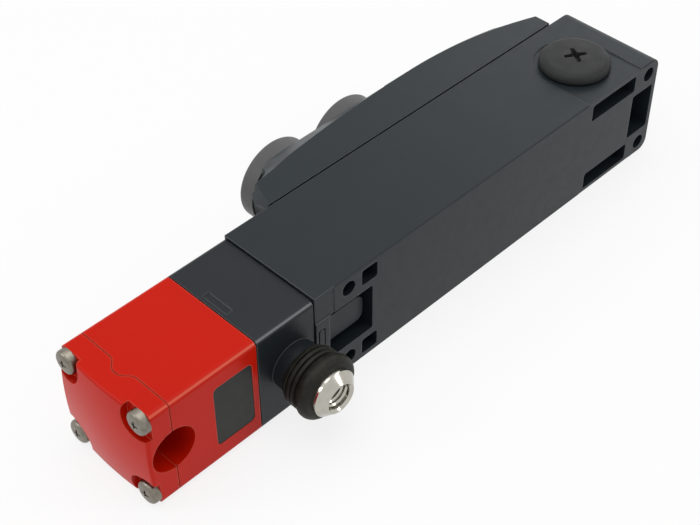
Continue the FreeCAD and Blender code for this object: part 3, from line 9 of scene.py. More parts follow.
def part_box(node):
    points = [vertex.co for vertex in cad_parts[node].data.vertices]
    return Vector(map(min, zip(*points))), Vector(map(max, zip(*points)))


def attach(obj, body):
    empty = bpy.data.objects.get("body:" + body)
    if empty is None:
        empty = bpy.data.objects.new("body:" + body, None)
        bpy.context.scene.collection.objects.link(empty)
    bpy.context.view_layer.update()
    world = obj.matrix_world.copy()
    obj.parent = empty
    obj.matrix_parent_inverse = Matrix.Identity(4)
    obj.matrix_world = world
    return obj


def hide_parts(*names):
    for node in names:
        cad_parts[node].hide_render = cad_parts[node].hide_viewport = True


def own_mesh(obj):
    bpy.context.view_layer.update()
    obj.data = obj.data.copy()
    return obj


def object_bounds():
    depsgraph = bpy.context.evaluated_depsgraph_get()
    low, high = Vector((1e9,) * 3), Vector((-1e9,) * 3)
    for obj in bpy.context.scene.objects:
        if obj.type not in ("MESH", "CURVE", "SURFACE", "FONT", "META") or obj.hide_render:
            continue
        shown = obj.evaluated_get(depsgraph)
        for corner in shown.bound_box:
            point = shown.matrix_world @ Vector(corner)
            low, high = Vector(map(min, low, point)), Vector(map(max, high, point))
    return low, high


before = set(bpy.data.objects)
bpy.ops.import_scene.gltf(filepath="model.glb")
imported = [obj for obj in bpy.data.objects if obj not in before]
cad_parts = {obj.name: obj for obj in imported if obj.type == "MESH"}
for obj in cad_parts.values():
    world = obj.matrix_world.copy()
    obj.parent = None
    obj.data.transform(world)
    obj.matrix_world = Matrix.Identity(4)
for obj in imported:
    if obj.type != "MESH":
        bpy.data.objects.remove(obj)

bl_info = {
    "name": "Guard Locking Switch",
    "version": (1, 0, 0),
    "blender": (4, 5, 0),
    "location": "View3D > Sidebar > Switch",
    "description": "Finishes, front cover, fasteners, release and studio of a guard locking switch",
    "category": "Object",
}

CAD_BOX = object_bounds()
MM = 0.001
FULL_TURN = 2 * math.pi
MERGE_DISTANCE = 1e-6
RELIEF_DISTANCE = 0.2 * MM
BEVEL_SAMPLES = 6
SENSOR_WIDTH = 36.0

# The wave texture runs through this many radians in one unit of length
WAVE_RADIANS = 20.0

# Steps round the turned and wound pieces, and along the arcs of their outlines
SMALL_STEPS = 48
LARGE_STEPS = 96
COIL_STEPS = 28
WIRE_SIDES = 10
SCREW_ARC_STEPS = 6
PLUG_FACE_STEPS = 6
PLUG_ARC_STEPS = 10
FOLD_STEPS = 8

# Sockets of the mix node that serve colours
MIX_FACTOR = 0
MIX_FIRST = 6
MIX_SECOND = 7
MIX_RESULT = 2

# Long edges of head and module that get a painted highlight: their least height, and how far a face there
# may turn along the switch
LONG_EDGE_HEIGHT = 14.5 * MM
ALONG_LIMIT = 0.3

# Directions in the switch's own frame
OUT_OF_HEAD = Vector((-1, 0, 0))
OUT_OF_BACK = Vector((0, -1, 0))
OUT_OF_FRONT = Vector((0, 1, 0))
UP = Vector((0, 0, 1))


def colour_property(name, description, default):
    """Linear colour with its own default."""
    return FloatVectorProperty(name=name, description=description, default=default, subtype="COLOR",
                               size=3, min=0.0, max=1.0)


def length_property(name, description, millimetres):
    """Length that is shown in the scene's units."""
    return FloatProperty(name=name, description=description, default=millimetres * MM, unit="LENGTH",
                         subtype="DISTANCE", min=0.0)


def place_property(name, description, default):
    """Place in the switch's own frame."""
    return FloatVectorProperty(name=name, description=description, default=default, subtype="XYZ",
                               unit="LENGTH")


def power_property(name, description, watts):
    """Power of a lamp."""
    return FloatProperty(name=name, description=description, default=watts, unit="POWER", min=0.0)


class SwitchFinishes(bpy.types.PropertyGroup):
    """Colours of the switch's surfaces; the edge colours are painted highlights laid along the edges."""

    red: colour_property("Red enamel", "Enamel of the head and its cap", (0.56, 0.010, 0.0015))
    # Painted highlight: lighter red laid along the edges of the enamel
    red_edge_highlight: colour_property("Red edge", "Enamel where it thins over an edge", (0.72, 0.115, 0.070))
    housing: colour_property("Housing", "Moulded housing", (0.014, 0.019, 0.023))
    # Painted highlight: lighter grey laid along the edges of the housing, module and cover
    housing_edge_highlight: colour_property("Housing edge", "Polished edge of the mouldings", (0.18, 0.19, 0.195))
    cover: colour_property("Cover", "Moulded front cover", (0.015, 0.021, 0.024))
    module: colour_property("Module", "Moulded release module", (0.013, 0.016, 0.019))
    bezel: colour_property("Bezel", "Control bezels and nuts", (0.100, 0.100, 0.102))
    # Painted highlight along the edges of the bezels and nuts
    bezel_edge_highlight: colour_property("Bezel edge", "Edges of bezels and nuts", (0.2, 0.2, 0.2))
    plug: colour_property("Plug", "Closing plug of the side entry", (0.022, 0.0225, 0.0235))
    # Painted highlight along the edges of the plug
    plug_edge_highlight: colour_property("Plug edge", "Edges of the plug", (0.075, 0.073, 0.074))
    window: colour_property("Window", "Reading window", (0.020, 0.021, 0.019))
    lens: colour_property("Lens", "Status lens", (0.012, 0.013, 0.014))
    # Painted highlight along the edge of the lens
    lens_edge_highlight: colour_property("Lens edge", "Edge of the status lens", (0.04, 0.04, 0.04))
    rubber: colour_property("Rubber", "Bellows and seals", (0.012, 0.0115, 0.009))
    nickel: colour_property("Nickel", "Plated release stem and auxiliary release", (0.46, 0.44, 0.39))
    stainless: colour_property("Stainless", "Screws and springs", (0.22, 0.20, 0.165))
    white: colour_property("White", "First push button", (0.62, 0.62, 0.60))
    # Painted highlight along the edge of the white button
    white_edge_highlight: colour_property("White edge", "Edge of the first push button", (0.7, 0.7, 0.68))
    black: colour_property("Black", "Second push button", (0.018, 0.018, 0.018))
    # Painted highlight along the edges of the black button and the window
    black_edge_highlight: colour_property("Black edge", "Edges of that button and the window", (0.05, 0.05, 0.05))
    pipe: colour_property("Light pipe", "Denser streaks of the light pipes", (0.86, 0.89, 0.89))
    pipe_light: colour_property("Light pipe clear", "Clear streaks of the light pipes", (0.95, 0.96, 0.96))
    steel: colour_property("Steel", "Bolt, rod, solenoid and rings", (0.42, 0.42, 0.43))
    bronze: colour_property("Bronze", "Sintered bushes", (0.45, 0.30, 0.13))
    copper: colour_property("Copper", "Windings", (0.55, 0.24, 0.10))
    nylon: colour_property("Nylon", "Spool, guide and contact blocks", (0.56, 0.52, 0.42))
    # Painted highlight along the edges of the nylon pieces
    nylon_edge_highlight: colour_property("Nylon edge", "Edges of the nylon pieces", (0.7, 0.67, 0.58))
    board: colour_property("Board", "Circuit boards", (0.015, 0.12, 0.045))
    terminal: colour_property("Terminal", "Terminal blocks", (0.04, 0.24, 0.08))
    # Painted highlight along the edges of the terminal blocks
    terminal_edge_highlight: colour_property("Terminal edge", "Edges of the terminal blocks", (0.1, 0.4, 0.16))


class SwitchFasteners(bpy.types.PropertyGroup):
    """Sizes of the screws and the plug."""

    head_screw_head: length_property("Head screw head", "Diameter of a long screw's rounded head", 8.0)
    head_screw_height: length_property("Head screw height", "Height of its head", 3.1)
    head_screw_shank: length_property("Head screw shank", "Diameter of its shank", 4.0)
    cover_screw_head: length_property("Cover screw head", "Diameter of a cover screw's head", 6.0)
    cover_screw_height: length_property("Cover screw height", "Height of its head", 2.4)
    cover_screw_shank: length_property("Cover screw shank", "Diameter of its shank", 3.5)
    recess_length: length_property("Recess length", "Across the wings of a cross recess", 4.2)
    recess_width: length_property("Recess width", "Width of a wing", 1.1)
    recess_depth: length_property("Recess depth", "Depth of a cross recess", 1.5)
    plug_flange: length_property("Plug flange", "Thickness of the plug's flange", 3.6)
    plug_rounding: length_property("Plug rounding", "Rounding of the flange's rim", 2.9)
    plug_crown: length_property("Plug crown", "Rise of the flange's face to its middle", 0.5)
    plug_shank: length_property("Plug shank", "Diameter of the plug's shank", 19.8)
    plug_wall: length_property("Plug wall", "Wall of the hollow shank", 2.2)
    plug_floor: length_property("Plug floor", "Depth of the shank's floor under the flange", 0.8)
    plug_recess_length: length_property("Plug recess length", "Across the wings of the plug's cross", 10.4)
    plug_recess_width: length_property("Plug recess width", "Width of a wing of the plug's cross", 3.0)
    plug_recess_depth: length_property("Plug recess depth", "Depth of the plug's cross", 2.4)
    plug_recess_turn: FloatProperty(name="Plug recess turn", description="Turn of the plug's cross",
                                    default=math.radians(58.0), subtype="ANGLE", unit="ROTATION")


class SwitchCover(bpy.types.PropertyGroup):
    """Sizes of the slope at the front cover's head end."""

    slope_start: length_property("Slope start", "From the cover's head end to the top of the slope", 19.6)
    slope_end: length_property("Slope end", "From the cover's head end to the foot of the slope", 7.0)
    slope_drop: length_property("Slope drop", "Fall of the front panel over the slope", 9.0)
    slope_depth: length_property("Slope depth", "Height of the cover's front that is drawn in", 9.9)
    slope_step: length_property("Slope step", "Width of the strips in which the front is drawn in", 0.1)


class SwitchRelease(bpy.types.PropertyGroup):
    """Sizes of the escape release's bellows, thread and of the button springs."""

    bellows_bore: length_property("Bellows bore", "Radius inside the bellows, on its boss", 8.4)
    cuff_radius: length_property("Cuff radius", "Radius of the bellows at the edge of its cuff", 9.3)
    fold_radius: length_property("Fold radius", "Radius over the folds", 10.3)
    groove_count: IntProperty(name="Grooves", description="Grooves between the folds", default=3, min=1)
    groove_start: length_property("First groove", "From the cuff's edge to the first groove", 2.1)
    groove_pitch: length_property("Groove pitch", "Distance between the grooves", 1.8)
    groove_width: length_property("Groove width", "Width of a groove", 0.9)
    groove_depth: length_property("Groove depth", "Depth of a groove", 1.0)
    ring_start: length_property("Ring start", "From the cuff's edge to the widest ring", 7.9)
    ring_rounding: length_property("Ring rounding", "Rounding of the end ring", 2.4)
    stem_bore: length_property("Stem bore", "Radius of the bellows on the stem", 5.3)
    end_wall: length_property("End wall", "Rubber at the end, on the stem", 1.6)
    inner_slope: length_property("Inner slope", "Rise of the inside towards the stem", 1.2)
    thread_core: length_property("Thread core", "Radius of the stem's threaded hole", 4.25)
    thread_start: length_property("Thread start", "From the stem's face to the first turn", 0.7)
    thread_pitch: length_property("Thread pitch", "Rise of the stem's thread in one turn", 1.5)
    thread_height: length_property("Thread height", "Height of a thread's ridge", 0.5)
    thread_turns: IntProperty(name="Thread turns", description="Turns of the stem's thread", default=6,
                              min=1)
    spring_wire: length_property("Spring wire", "Wire of a button's return spring", 0.8)
    spring_turns: IntProperty(name="Spring turns", description="Turns of a return spring", default=4, min=1)


class SwitchStudio(bpy.types.PropertyGroup):
    """Camera, lights and floor."""

    camera_place: place_property("Camera place", "Where the camera stands", (-0.29133, -0.21818, 0.32189))
    camera_aim: FloatVectorProperty(name="Camera aim", description="Direction that the camera looks in",
                                    default=(0.50877, 0.51020, -0.69344), subtype="DIRECTION")
    camera_roll: FloatProperty(name="Camera roll", description="Turn about the line of sight",
                               default=math.radians(-0.3772), subtype="ANGLE", unit="ROTATION")
    camera_lens: FloatProperty(name="Lens", description="Focal length in millimetres on a 36 mm sensor",
                               default=75.08, min=1.0)
    key_power: power_property("Key power", "Large lamp overhead", 5.0)
    key_size: length_property("Key size", "Side of the lamp overhead", 900.0)
    key_place: place_property("Key place", "Where the lamp overhead hangs", (-0.10, 0.05, 0.95))
    right_power: power_property("Right power", "Lamp in front on the right", 1.5)
    right_size: length_property("Right size", "Side of the lamp on the right", 240.0)
    right_place: place_property("Right place", "Where the lamp on the right stands", (0.55, -0.75, 0.55))
    left_power: power_property("Left power", "Lamp behind on the left", 1.7)
    left_size: length_property("Left size", "Side of the lamp on the left", 240.0)
    left_place: place_property("Left place", "Where the lamp on the left stands", (-0.80, 0.55, 0.55))
    far_power: power_property("Far power", "Lamp beyond the far end", 1.1)
    far_size: length_property("Far size", "Side of the lamp beyond the far end", 500.0)
    far_place: place_property("Far place", "Where the lamp beyond the far end stands", (0.90, 0.45, 0.55))
    world_level: FloatProperty(name="World level", description="Strength of the even light all round",
                               default=0.40, min=0.0)
    floor_colour: colour_property("Floor", "Pale floor under the switch", (0.95, 0.95, 0.95))
    floor_white: FloatProperty(name="Floor white", description="Share of plain white seen on the floor",
                               default=0.82, min=0.0, max=1.0)
    floor_size: length_property("Floor size", "Side of the floor", 4000.0)


# Node helpers

def add_node(tree, kind, inputs=None, **settings):
    """Add a node, set its options, and set or link its inputs."""
    made = tree.nodes.new(kind)
    for option, value in settings.items():
        setattr(made, option, value)
    for socket, value in (inputs or {}).items():
        if isinstance(value, bpy.types.NodeSocket):
            tree.links.new(value, made.inputs[socket])
        else:
            made.inputs[socket].default_value = value
    return made


def calculate(tree, operation, *values):
    """Result of a sum, comparison or the like on one or two values."""
    return add_node(tree, "ShaderNodeMath", dict(enumerate(values)), operation=operation).outputs["Value"]


def mix_colours(tree, factor, first, second):
    """Blend two colours by a factor."""
    inputs = {MIX_FACTOR: factor, MIX_FIRST: first, MIX_SECOND: second}
    return add_node(tree, "ShaderNodeMix", inputs, data_type="RGBA").outputs[MIX_RESULT]


def opaque(colour, factor=1.0):
    """Colour with full alpha, made lighter or darker by a factor."""
    return tuple(min(1.0, c * factor) for c in colour) + (1.0,)


def object_place(tree, stretch=(1.0, 1.0, 1.0), centre=(0.0, 0.0, 0.0)):
    """Object coordinates about a centre, stretched along the axes."""
    coordinates = tree.nodes.new("ShaderNodeTexCoord")
    shift = tuple(-c * s for c, s in zip(centre, stretch))
    mapping = add_node(tree, "ShaderNodeMapping",
                       {"Vector": coordinates.outputs["Object"], "Scale": stretch, "Location": shift})
    return mapping.outputs["Vector"]


def noise(tree, place, scale, detail=2.0, roughness=0.5):
    """Value of a cloudy noise, from about 0.3 to 0.7."""
    cloud = add_node(tree, "ShaderNodeTexNoise",
                     {"Vector": place, "Scale": scale, "Detail": detail, "Roughness": roughness})
    return cloud.outputs["Fac"]


def spread(tree, value, low, high, from_low=0.35, from_high=0.65):
    """Map a value onto a range, clamped."""
    mapped = add_node(tree, "ShaderNodeMapRange",
                      {"Value": value, "From Min": from_low, "From Max": from_high,
                       "To Min": low, "To Max": high})
    return mapped.outputs["Result"]


def edge_mask(tree, radius):
    """1 along the edges of a piece within a radius, where the finishes paint a highlight, and 0 on its open
    faces; also the rounded normal.
    """
    rounded = add_node(tree, "ShaderNodeBevel", {"Radius": radius}, samples=BEVEL_SAMPLES)
    geometry = tree.nodes.new("ShaderNodeNewGeometry")
    normals = {0: rounded.outputs["Normal"], 1: geometry.outputs["Normal"]}
    turn = add_node(tree, "ShaderNodeVectorMath", normals, operation="DOT_PRODUCT")
    mask = spread(tree, turn.outputs["Value"], 1.0, 0.0, from_low=0.80, from_high=0.985)
    return mask, rounded.outputs["Normal"]


def long_edge_highlight_mask(tree):
    """1 in the middle of the roundings along the long edges, where a highlight is painted, and 0 on every
    face and bore.
    """
    geometry = tree.nodes.new("ShaderNodeNewGeometry")
    normal = {0: geometry.outputs["Normal"]}
    facing = add_node(tree, "ShaderNodeVectorMath", normal, operation="ABSOLUTE")
    parts = add_node(tree, "ShaderNodeSeparateXYZ", {0: facing.outputs["Vector"]})
    most = calculate(tree, "MAXIMUM", parts.outputs["Y"], parts.outputs["Z"])
    slant = spread(tree, most, 1.0, 0.0, from_low=0.77, from_high=0.91)
    sides = calculate(tree, "LESS_THAN", parts.outputs["X"], ALONG_LIMIT)
    place = add_node(tree, "ShaderNodeSeparateXYZ", {0: object_place(tree)})
    height = calculate(tree, "ABSOLUTE", place.outputs["Z"])
    outer = calculate(tree, "GREATER_THAN", height, LONG_EDGE_HEIGHT)
    long_edge = calculate(tree, "MULTIPLY", sides, outer)
    return calculate(tree, "MULTIPLY", slant, long_edge)


def start_material(name, **sockets):
    """New material with its shader, whose constant sockets are set at once."""
    material = bpy.data.materials.new(name)
    material.use_nodes = True
    tree = material.node_tree
    shader = tree.nodes["Principled BSDF"]
    for socket, value in sockets.items():
        shader.inputs[socket.replace("_", " ")].default_value = value
    return material, tree, shader


def finish_surface(tree, shader, colour, roughness, height, bump, normal=None):
    """Join colour, roughness and a bumped height to the shader."""
    inputs = {"Height": height, "Strength": bump, "Distance": RELIEF_DISTANCE}
    if normal is not None:
        inputs["Normal"] = normal
    relief = add_node(tree, "ShaderNodeBump", inputs)
    tree.links.new(colour, shader.inputs["Base Color"])
    tree.links.new(roughness, shader.inputs["Roughness"])
    tree.links.new(relief.outputs["Normal"], shader.inputs["Normal"])


# Finishes

def enamel(name, colour, edge_highlight_colour):
    """Stoved enamel on a casting: slight orange peel, faint clouds, and a painted highlight of lighter red
    along the edges.
    """
    material, tree, shader = start_material(name, Specular_IOR_Level=0.11)
    place = object_place(tree)
    cloud = noise(tree, place, scale=30.0, detail=0.0)
    shade = spread(tree, cloud, 0.0, 1.0, from_low=0.1, from_high=0.9)
    tint = mix_colours(tree, shade, opaque(colour, 0.92), opaque(colour, 1.08))
    mask, normal = edge_mask(tree, 0.45 * MM)
    # Painted highlight: lighter red on every edge and in the middle of the long roundings
    tint = mix_colours(tree, mask, tint, opaque(edge_highlight_colour))
    tint = mix_colours(tree, long_edge_highlight_mask(tree), tint, opaque(edge_highlight_colour))
    peel = noise(tree, place, scale=1500.0, detail=0.0)
    patches = noise(tree, place, scale=60.0, detail=0.0)
    rough = spread(tree, patches, 0.28, 0.32, from_low=0.1, from_high=0.9)
    finish_surface(tree, shader, tint, rough, peel, bump=0.02, normal=normal)
    return material


def moulding(name, colour, edge_highlight_colour, rough=(0.34, 0.40), grain=0.18, specular=0.19, edge=0.25,
             highlight_long_edges=False):
    """Moulded plastic: fine grain, faint flow clouds, and painted highlights along the edges, of a width in
    millimetres.
    """
    material, tree, shader = start_material(name, Specular_IOR_Level=specular)
    place = object_place(tree)
    flow = noise(tree, object_place(tree, stretch=(0.6, 1.0, 1.0)), scale=55.0, detail=3.0)
    tint = mix_colours(tree, spread(tree, flow, 0.0, 1.0), opaque(colour, 0.96), opaque(colour, 1.04))
    mask, normal = edge_mask(tree, edge * MM)
    # Painted highlight along the edges
    tint = mix_colours(tree, mask, tint, opaque(edge_highlight_colour))
    # Painted highlight in the middle of the long roundings
    if highlight_long_edges:
        tint = mix_colours(tree, long_edge_highlight_mask(tree), tint, opaque(edge_highlight_colour))
    pits = noise(tree, place, scale=5200.0, roughness=0.6)
    tint = mix_colours(tree, spread(tree, pits, 0.0, 0.25), tint, opaque(colour, 1.5))
    roughness = spread(tree, noise(tree, place, scale=240.0, detail=3.0), *rough)
    finish_surface(tree, shader, tint, roughness, pits, grain, normal)
    return material


def rubber(name, colour):
    """Black rubber: matt, dusty in patches, with a fine grain and a painted highlight along the edges."""
    material, tree, shader = start_material(name, Specular_IOR_Level=0.16)
    place = object_place(tree)
    dust = noise(tree, place, scale=350.0, detail=4.0, roughness=0.6)
    dusty = spread(tree, dust, 0.0, 1.0, from_low=0.45, from_high=0.75)
    tint = mix_colours(tree, dusty, opaque(colour), opaque(colour, 2.1))
    mask, normal = edge_mask(tree, 0.15 * MM)
    # Painted highlight: the edges are made six times lighter
    tint = mix_colours(tree, mask, tint, opaque(colour, 6.0))
    grain = noise(tree, place, scale=3200.0)
    roughness = spread(tree, dust, 0.40, 0.56)
    finish_surface(tree, shader, tint, roughness, grain, bump=0.20, normal=normal)
    return material


def turned_metal(name, colour, centre, rough=(0.10, 0.2), lines=0.06):
    """Plated turning about an axis along Y: fine tool lines and soft stains."""
    material, tree, shader = start_material(name, Metallic=1.0)
    place = object_place(tree, centre=centre)
    stain = noise(tree, place, scale=420.0, detail=3.0)
    tint = mix_colours(tree, spread(tree, stain, 0.0, 1.0), opaque(colour, 0.94), opaque(colour, 1.04))
    rings = add_node(tree, "ShaderNodeTexWave",
                     {"Vector": place, "Scale": 2600.0, "Distortion": 1.5, "Detail": 1.0},
                     wave_type="RINGS", rings_direction="Y")
    roughness = spread(tree, stain, *rough)
    finish_surface(tree, shader, tint, roughness, rings.outputs["Fac"], lines)
    return material


def tumbled_metal(name, colour, rough=(0.30, 0.46), scratch=0.16, stretch=(1.0, 1.0, 1.0)):
    """Plain metal with a tumbled or drawn grain, small stains and a painted highlight along the edges."""
    material, tree, shader = start_material(name, Metallic=1.0)
    place = object_place(tree, stretch)
    stain = noise(tree, place, scale=700.0, detail=4.0, roughness=0.6)
    tint = mix_colours(tree, spread(tree, stain, 0.0, 1.0), opaque(colour, 0.80), opaque(colour, 1.12))
    mask, normal = edge_mask(tree, 0.15 * MM)
    # Painted highlight: lighter metal along the edges
    tint = mix_colours(tree, mask, tint, opaque(colour, 1.35))
    grain = noise(tree, place, scale=2600.0, detail=3.0)
    roughness = spread(tree, stain, *rough)
    finish_surface(tree, shader, tint, roughness, grain, scratch, normal)
    return material


def wound_wire(name, colour, pitch):
    """Lacquered copper winding: wire turns side by side along X, with painted shade in the grooves between
    them.
    """
    material, tree, shader = start_material(name, Metallic=1.0)
    place = object_place(tree)
    turns = add_node(tree, "ShaderNodeTexWave",
                     {"Vector": place, "Scale": FULL_TURN / pitch / WAVE_RADIANS},
                     wave_type="BANDS", bands_direction="X")
    shade = noise(tree, place, scale=500.0)
    # Painted shade: the colour darkens towards the grooves between the turns
    tint = mix_colours(tree, turns.outputs["Fac"], opaque(colour, 0.55), opaque(colour, 1.05))
    finish_surface(tree, shader, tint, spread(tree, shade, 0.25, 0.4), turns.outputs["Fac"], bump=0.8)
    return material


def circuit_board(name, colour):
    """Coated board with faint tracks under the lacquer."""
    material, tree, shader = start_material(name, Specular_IOR_Level=0.5)
    place = object_place(tree)
    tracks = add_node(tree, "ShaderNodeTexBrick",
                      {"Vector": place, "Scale": 120.0, "Mortar Size": 0.03, "Color1": opaque(colour),
                       "Color2": opaque(colour, 1.15), "Mortar": opaque(colour, 2.0)})
    roughness = spread(tree, noise(tree, place, scale=300.0), 0.25, 0.4)
    finish_surface(tree, shader, tracks.outputs["Color"], roughness, tracks.outputs["Fac"], bump=0.3)
    return material


def clear_rod(name, colour, light_colour):
    """Clear moulded plastic with faint flow lines."""
    material, tree, shader = start_material(name, Transmission_Weight=0.9, IOR=1.49)
    place = object_place(tree)
    flow = noise(tree, place, scale=220.0, detail=3.0)
    tint = mix_colours(tree, spread(tree, flow, 0.0, 1.0), opaque(colour), opaque(light_colour))
    finish_surface(tree, shader, tint, spread(tree, flow, 0.06, 0.14), flow, bump=0.05)
    return material


def dress(material, *nodes):
    """Give CAD nodes their finish."""
    for node in nodes:
        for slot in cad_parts[node].material_slots:
            slot.material = material


# Modelling helpers

def deselect_all():
    """Leave edit mode and drop every selection."""
    if bpy.context.object and bpy.context.object.mode != "OBJECT":
        bpy.ops.object.mode_set(mode="OBJECT")
    bpy.ops.object.select_all(action="DESELECT")


def select_only(piece):
    """Make one piece the only one selected."""
    deselect_all()
    piece.select_set(True)
    bpy.context.view_layer.objects.active = piece


def apply_place(piece):
    """Put a piece's place and turn into its mesh."""
    select_only(piece)
    bpy.ops.object.transform_apply(location=True, rotation=True, scale=True)


def set_piece(piece, point, direction):
    """Stand a piece that was modelled along +Z on a point, facing a direction."""
    piece.rotation_mode = "QUATERNION"
    piece.rotation_quaternion = Vector(direction).to_track_quat("Z", "Y")
    piece.location = point
    apply_place(piece)


def apply_modifiers(piece):
    """Apply every modifier of a piece in order."""
    select_only(piece)
    for modifier in list(piece.modifiers):
        bpy.ops.object.modifier_apply(modifier=modifier.name)


def close_up(piece):
    """Merge doubles and turn the faces outwards."""
    select_only(piece)
    bpy.ops.object.mode_set(mode="EDIT")
    bpy.ops.mesh.select_all(action="SELECT")
    bpy.ops.mesh.remove_doubles(threshold=MERGE_DISTANCE)
    bpy.ops.mesh.dissolve_degenerate(threshold=MERGE_DISTANCE)
    bpy.ops.mesh.normals_make_consistent(inside=False)
    bpy.ops.object.mode_set(mode="OBJECT")


def smooth(piece, degrees=32.0):
    """Smooth shading over shallow edges only."""
    select_only(piece)
    bpy.ops.object.shade_smooth_by_angle(angle=math.radians(degrees))


def single_point(name, point):
    """Start a piece from one vertex, left in edit mode."""
    deselect_all()
    bpy.ops.mesh.primitive_plane_add(size=MM, location=(0, 0, 0))
    piece = bpy.context.object
    piece.name = name
    bpy.ops.object.mode_set(mode="EDIT")
    bpy.ops.mesh.merge(type="CENTER")
    bpy.ops.transform.translate(value=point)
    return piece


def trace(points):
    """Extrude the selected vertex along a line of points."""
    for start, end in zip(points, points[1:]):
        bpy.ops.mesh.extrude_region_move(TRANSFORM_OT_translate={"value": Vector(end) - Vector(start)})


def lathe(name, outline, steps):
    """Spin an outline of (radius, height) points about Z."""
    points = [(radius, 0.0, height) for radius, height in outline]
    piece = single_point(name, points[0])
    trace(points)
    bpy.ops.mesh.select_all(action="SELECT")
    bpy.ops.mesh.spin(steps=steps, angle=FULL_TURN, center=(0, 0, 0), axis=(0, 0, 1))
    bpy.ops.object.mode_set(mode="OBJECT")
    close_up(piece)
    return piece


def arc(centre, radius, start_deg, end_deg, steps):
    """Points of an arc in the outline's plane."""
    points = []
    for step in range(steps + 1):
        angle = math.radians(start_deg + (end_deg - start_deg) * step / steps)
        points.append((centre[0] + radius * math.cos(angle), centre[1] + radius * math.sin(angle)))
    return points


def wing_cutter(length, width, depth, top, end_share, floor_share):
    """Tapered bar for one pair of wings of a cross recess, cut down from a height."""
    deselect_all()
    bpy.ops.mesh.primitive_cube_add(size=1.0, location=(0, 0, top))
    cutter = bpy.context.object
    cutter.scale = (length, width, 2 * depth)
    apply_place(cutter)
    bpy.ops.object.mode_set(mode="EDIT")
    bpy.ops.mesh.select_mode(type="EDGE")
    bpy.ops.mesh.select_all(action="SELECT")
    bpy.ops.mesh.bisect(plane_co=(0, 0, 0), plane_no=(1, 0, 0))
    bpy.ops.mesh.select_all(action="DESELECT")
    pick_vertices(cutter, lambda place: abs(place.x) > length / 4)
    bpy.ops.transform.resize(value=(1.0, end_share, 1.0), center_override=(0, 0, 0))
    pick_vertices(cutter, lambda place: place.z < top)
    bpy.ops.transform.resize(value=(floor_share, floor_share, 1.0), center_override=(0, 0, 0))
    bpy.ops.object.mode_set(mode="OBJECT")
    return cutter


def pick_vertices(piece, rule):
    """Select the vertices whose place meets a rule, in edit mode."""
    bpy.ops.mesh.select_mode(type="VERT")
    mesh = bmesh.from_edit_mesh(piece.data)
    for vertex in mesh.verts:
        vertex.select_set(rule(vertex.co))
    mesh.select_flush_mode()
    bmesh.update_edit_mesh(piece.data)


def cut_cross(piece, length, width, depth, top, turn=0.0, end_share=0.8, floor_share=0.55):
    """Cut a cross recess into the top of a piece that stands on Z."""
    for quarter in (0.0, math.pi / 2):
        cutter = wing_cutter(length, width, depth, top, end_share, floor_share)
        cutter.rotation_euler = (0, 0, turn + quarter)
        apply_place(cutter)
        cut = piece.modifiers.new("recess", "BOOLEAN")
        cut.operation = "DIFFERENCE"
        cut.solver = "EXACT"
        cut.object = cutter
        apply_modifiers(piece)
        bpy.data.objects.remove(cutter)


def pan_screw(name, head_d, height, shank_d, shank_length, settings):
    """Pan head screw with a cross recess, its head's underside at the origin."""
    shoulder = 0.4 * height
    crown = 0.08 * height
    rim = head_d / 2
    outline = [(0.0, height), ((rim - shoulder) / 2, height - crown / 4)]
    outline += [(x, y - crown) for x, y in
                reversed(arc((rim - shoulder, height - shoulder), shoulder, 0, 90, SCREW_ARC_STEPS))]
    outline += [(rim, 0.0), (shank_d / 2, 0.0), (shank_d / 2, -shank_length), (0.0, -shank_length)]
    screw = lathe(name, outline, SMALL_STEPS)
    cut_cross(screw, settings.recess_length, settings.recess_width, settings.recess_depth, height)
    smooth(screw)
    return screw


def copies_of(piece, places):
    """Move a piece to the first place and give every other place a copy with its own mesh."""
    made = [piece]
    for number in range(2, len(places) + 1):
        copy = piece.copy()
        copy.data = piece.data.copy()
        copy.name = piece.name.rsplit("_", 1)[0] + f"_{number}"
        bpy.context.scene.collection.objects.link(copy)
        made.append(copy)
    for copy, (point, direction) in zip(made, places):
        set_piece(copy, point, direction)
    return made


def corners(low, high, inset):
    """The four pairs of places that lie in by an inset from the corners of a rectangle."""
    return [(first, second) for first in (low[0] + inset, high[0] - inset)
            for second in (low[1] + inset, high[1] - inset)]


def seat(piece, body, slot, material, *nodes):
    """Dress a new piece, let it ride on its body and stand for its CAD nodes."""
    piece.data.materials.clear()
    piece.data.materials.append(material)
    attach(piece, body)
    if nodes:
        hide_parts(*nodes)


def wind(piece, rise, turns, steps):
    """Wind an outline up along Z."""
    winding = piece.modifiers.new("winding", "SCREW")
    winding.angle = FULL_TURN
    winding.screw_offset = rise
    winding.iterations = turns
    winding.steps = steps
    winding.render_steps = steps
    apply_modifiers(piece)


class SwitchOperator:
    """What the switch's operators share."""

    bl_options = {"REGISTER", "UNDO"}


class SWITCH_OT_head(SwitchOperator, bpy.types.Operator):
    """Enamel the head and its cap and finish the reading window."""

    bl_idname = "switch.head"
    bl_label = "Red head"

    def execute(self, context):
        colours = context.scene.switch_finishes
        dress(enamel("red_enamel", colours.red, colours.red_edge_highlight), "head_body", "head_cap")
        window = moulding("smoked_window", colours.window, colours.black_edge_highlight, rough=(0.36, 0.44),
                          grain=0.12, specular=0.16, edge=0.2)
        dress(window, "rfid_window")
        return {"FINISHED"}


class SWITCH_OT_housing(SwitchOperator, bpy.types.Operator):
    """Finish the housing, the release module and their seals."""

    bl_idname = "switch.housing"
    bl_label = "Housing and module"

    def execute(self, context):
        colours = context.scene.switch_finishes
        dress(moulding("housing_grey", colours.housing, colours.housing_edge_highlight, edge=0.42), "main_housing")
        # The module also gets the painted highlight along its long edges
        module = moulding("module_grey", colours.module, colours.housing_edge_highlight, edge=0.35, highlight_long_edges=True)
        dress(module, "release_module")
        dress(rubber("seal_rubber", colours.rubber),
              "cover_gasket", "module_gasket", "head_gasket", "aux_seal", "plug_seal")
        return {"FINISHED"}


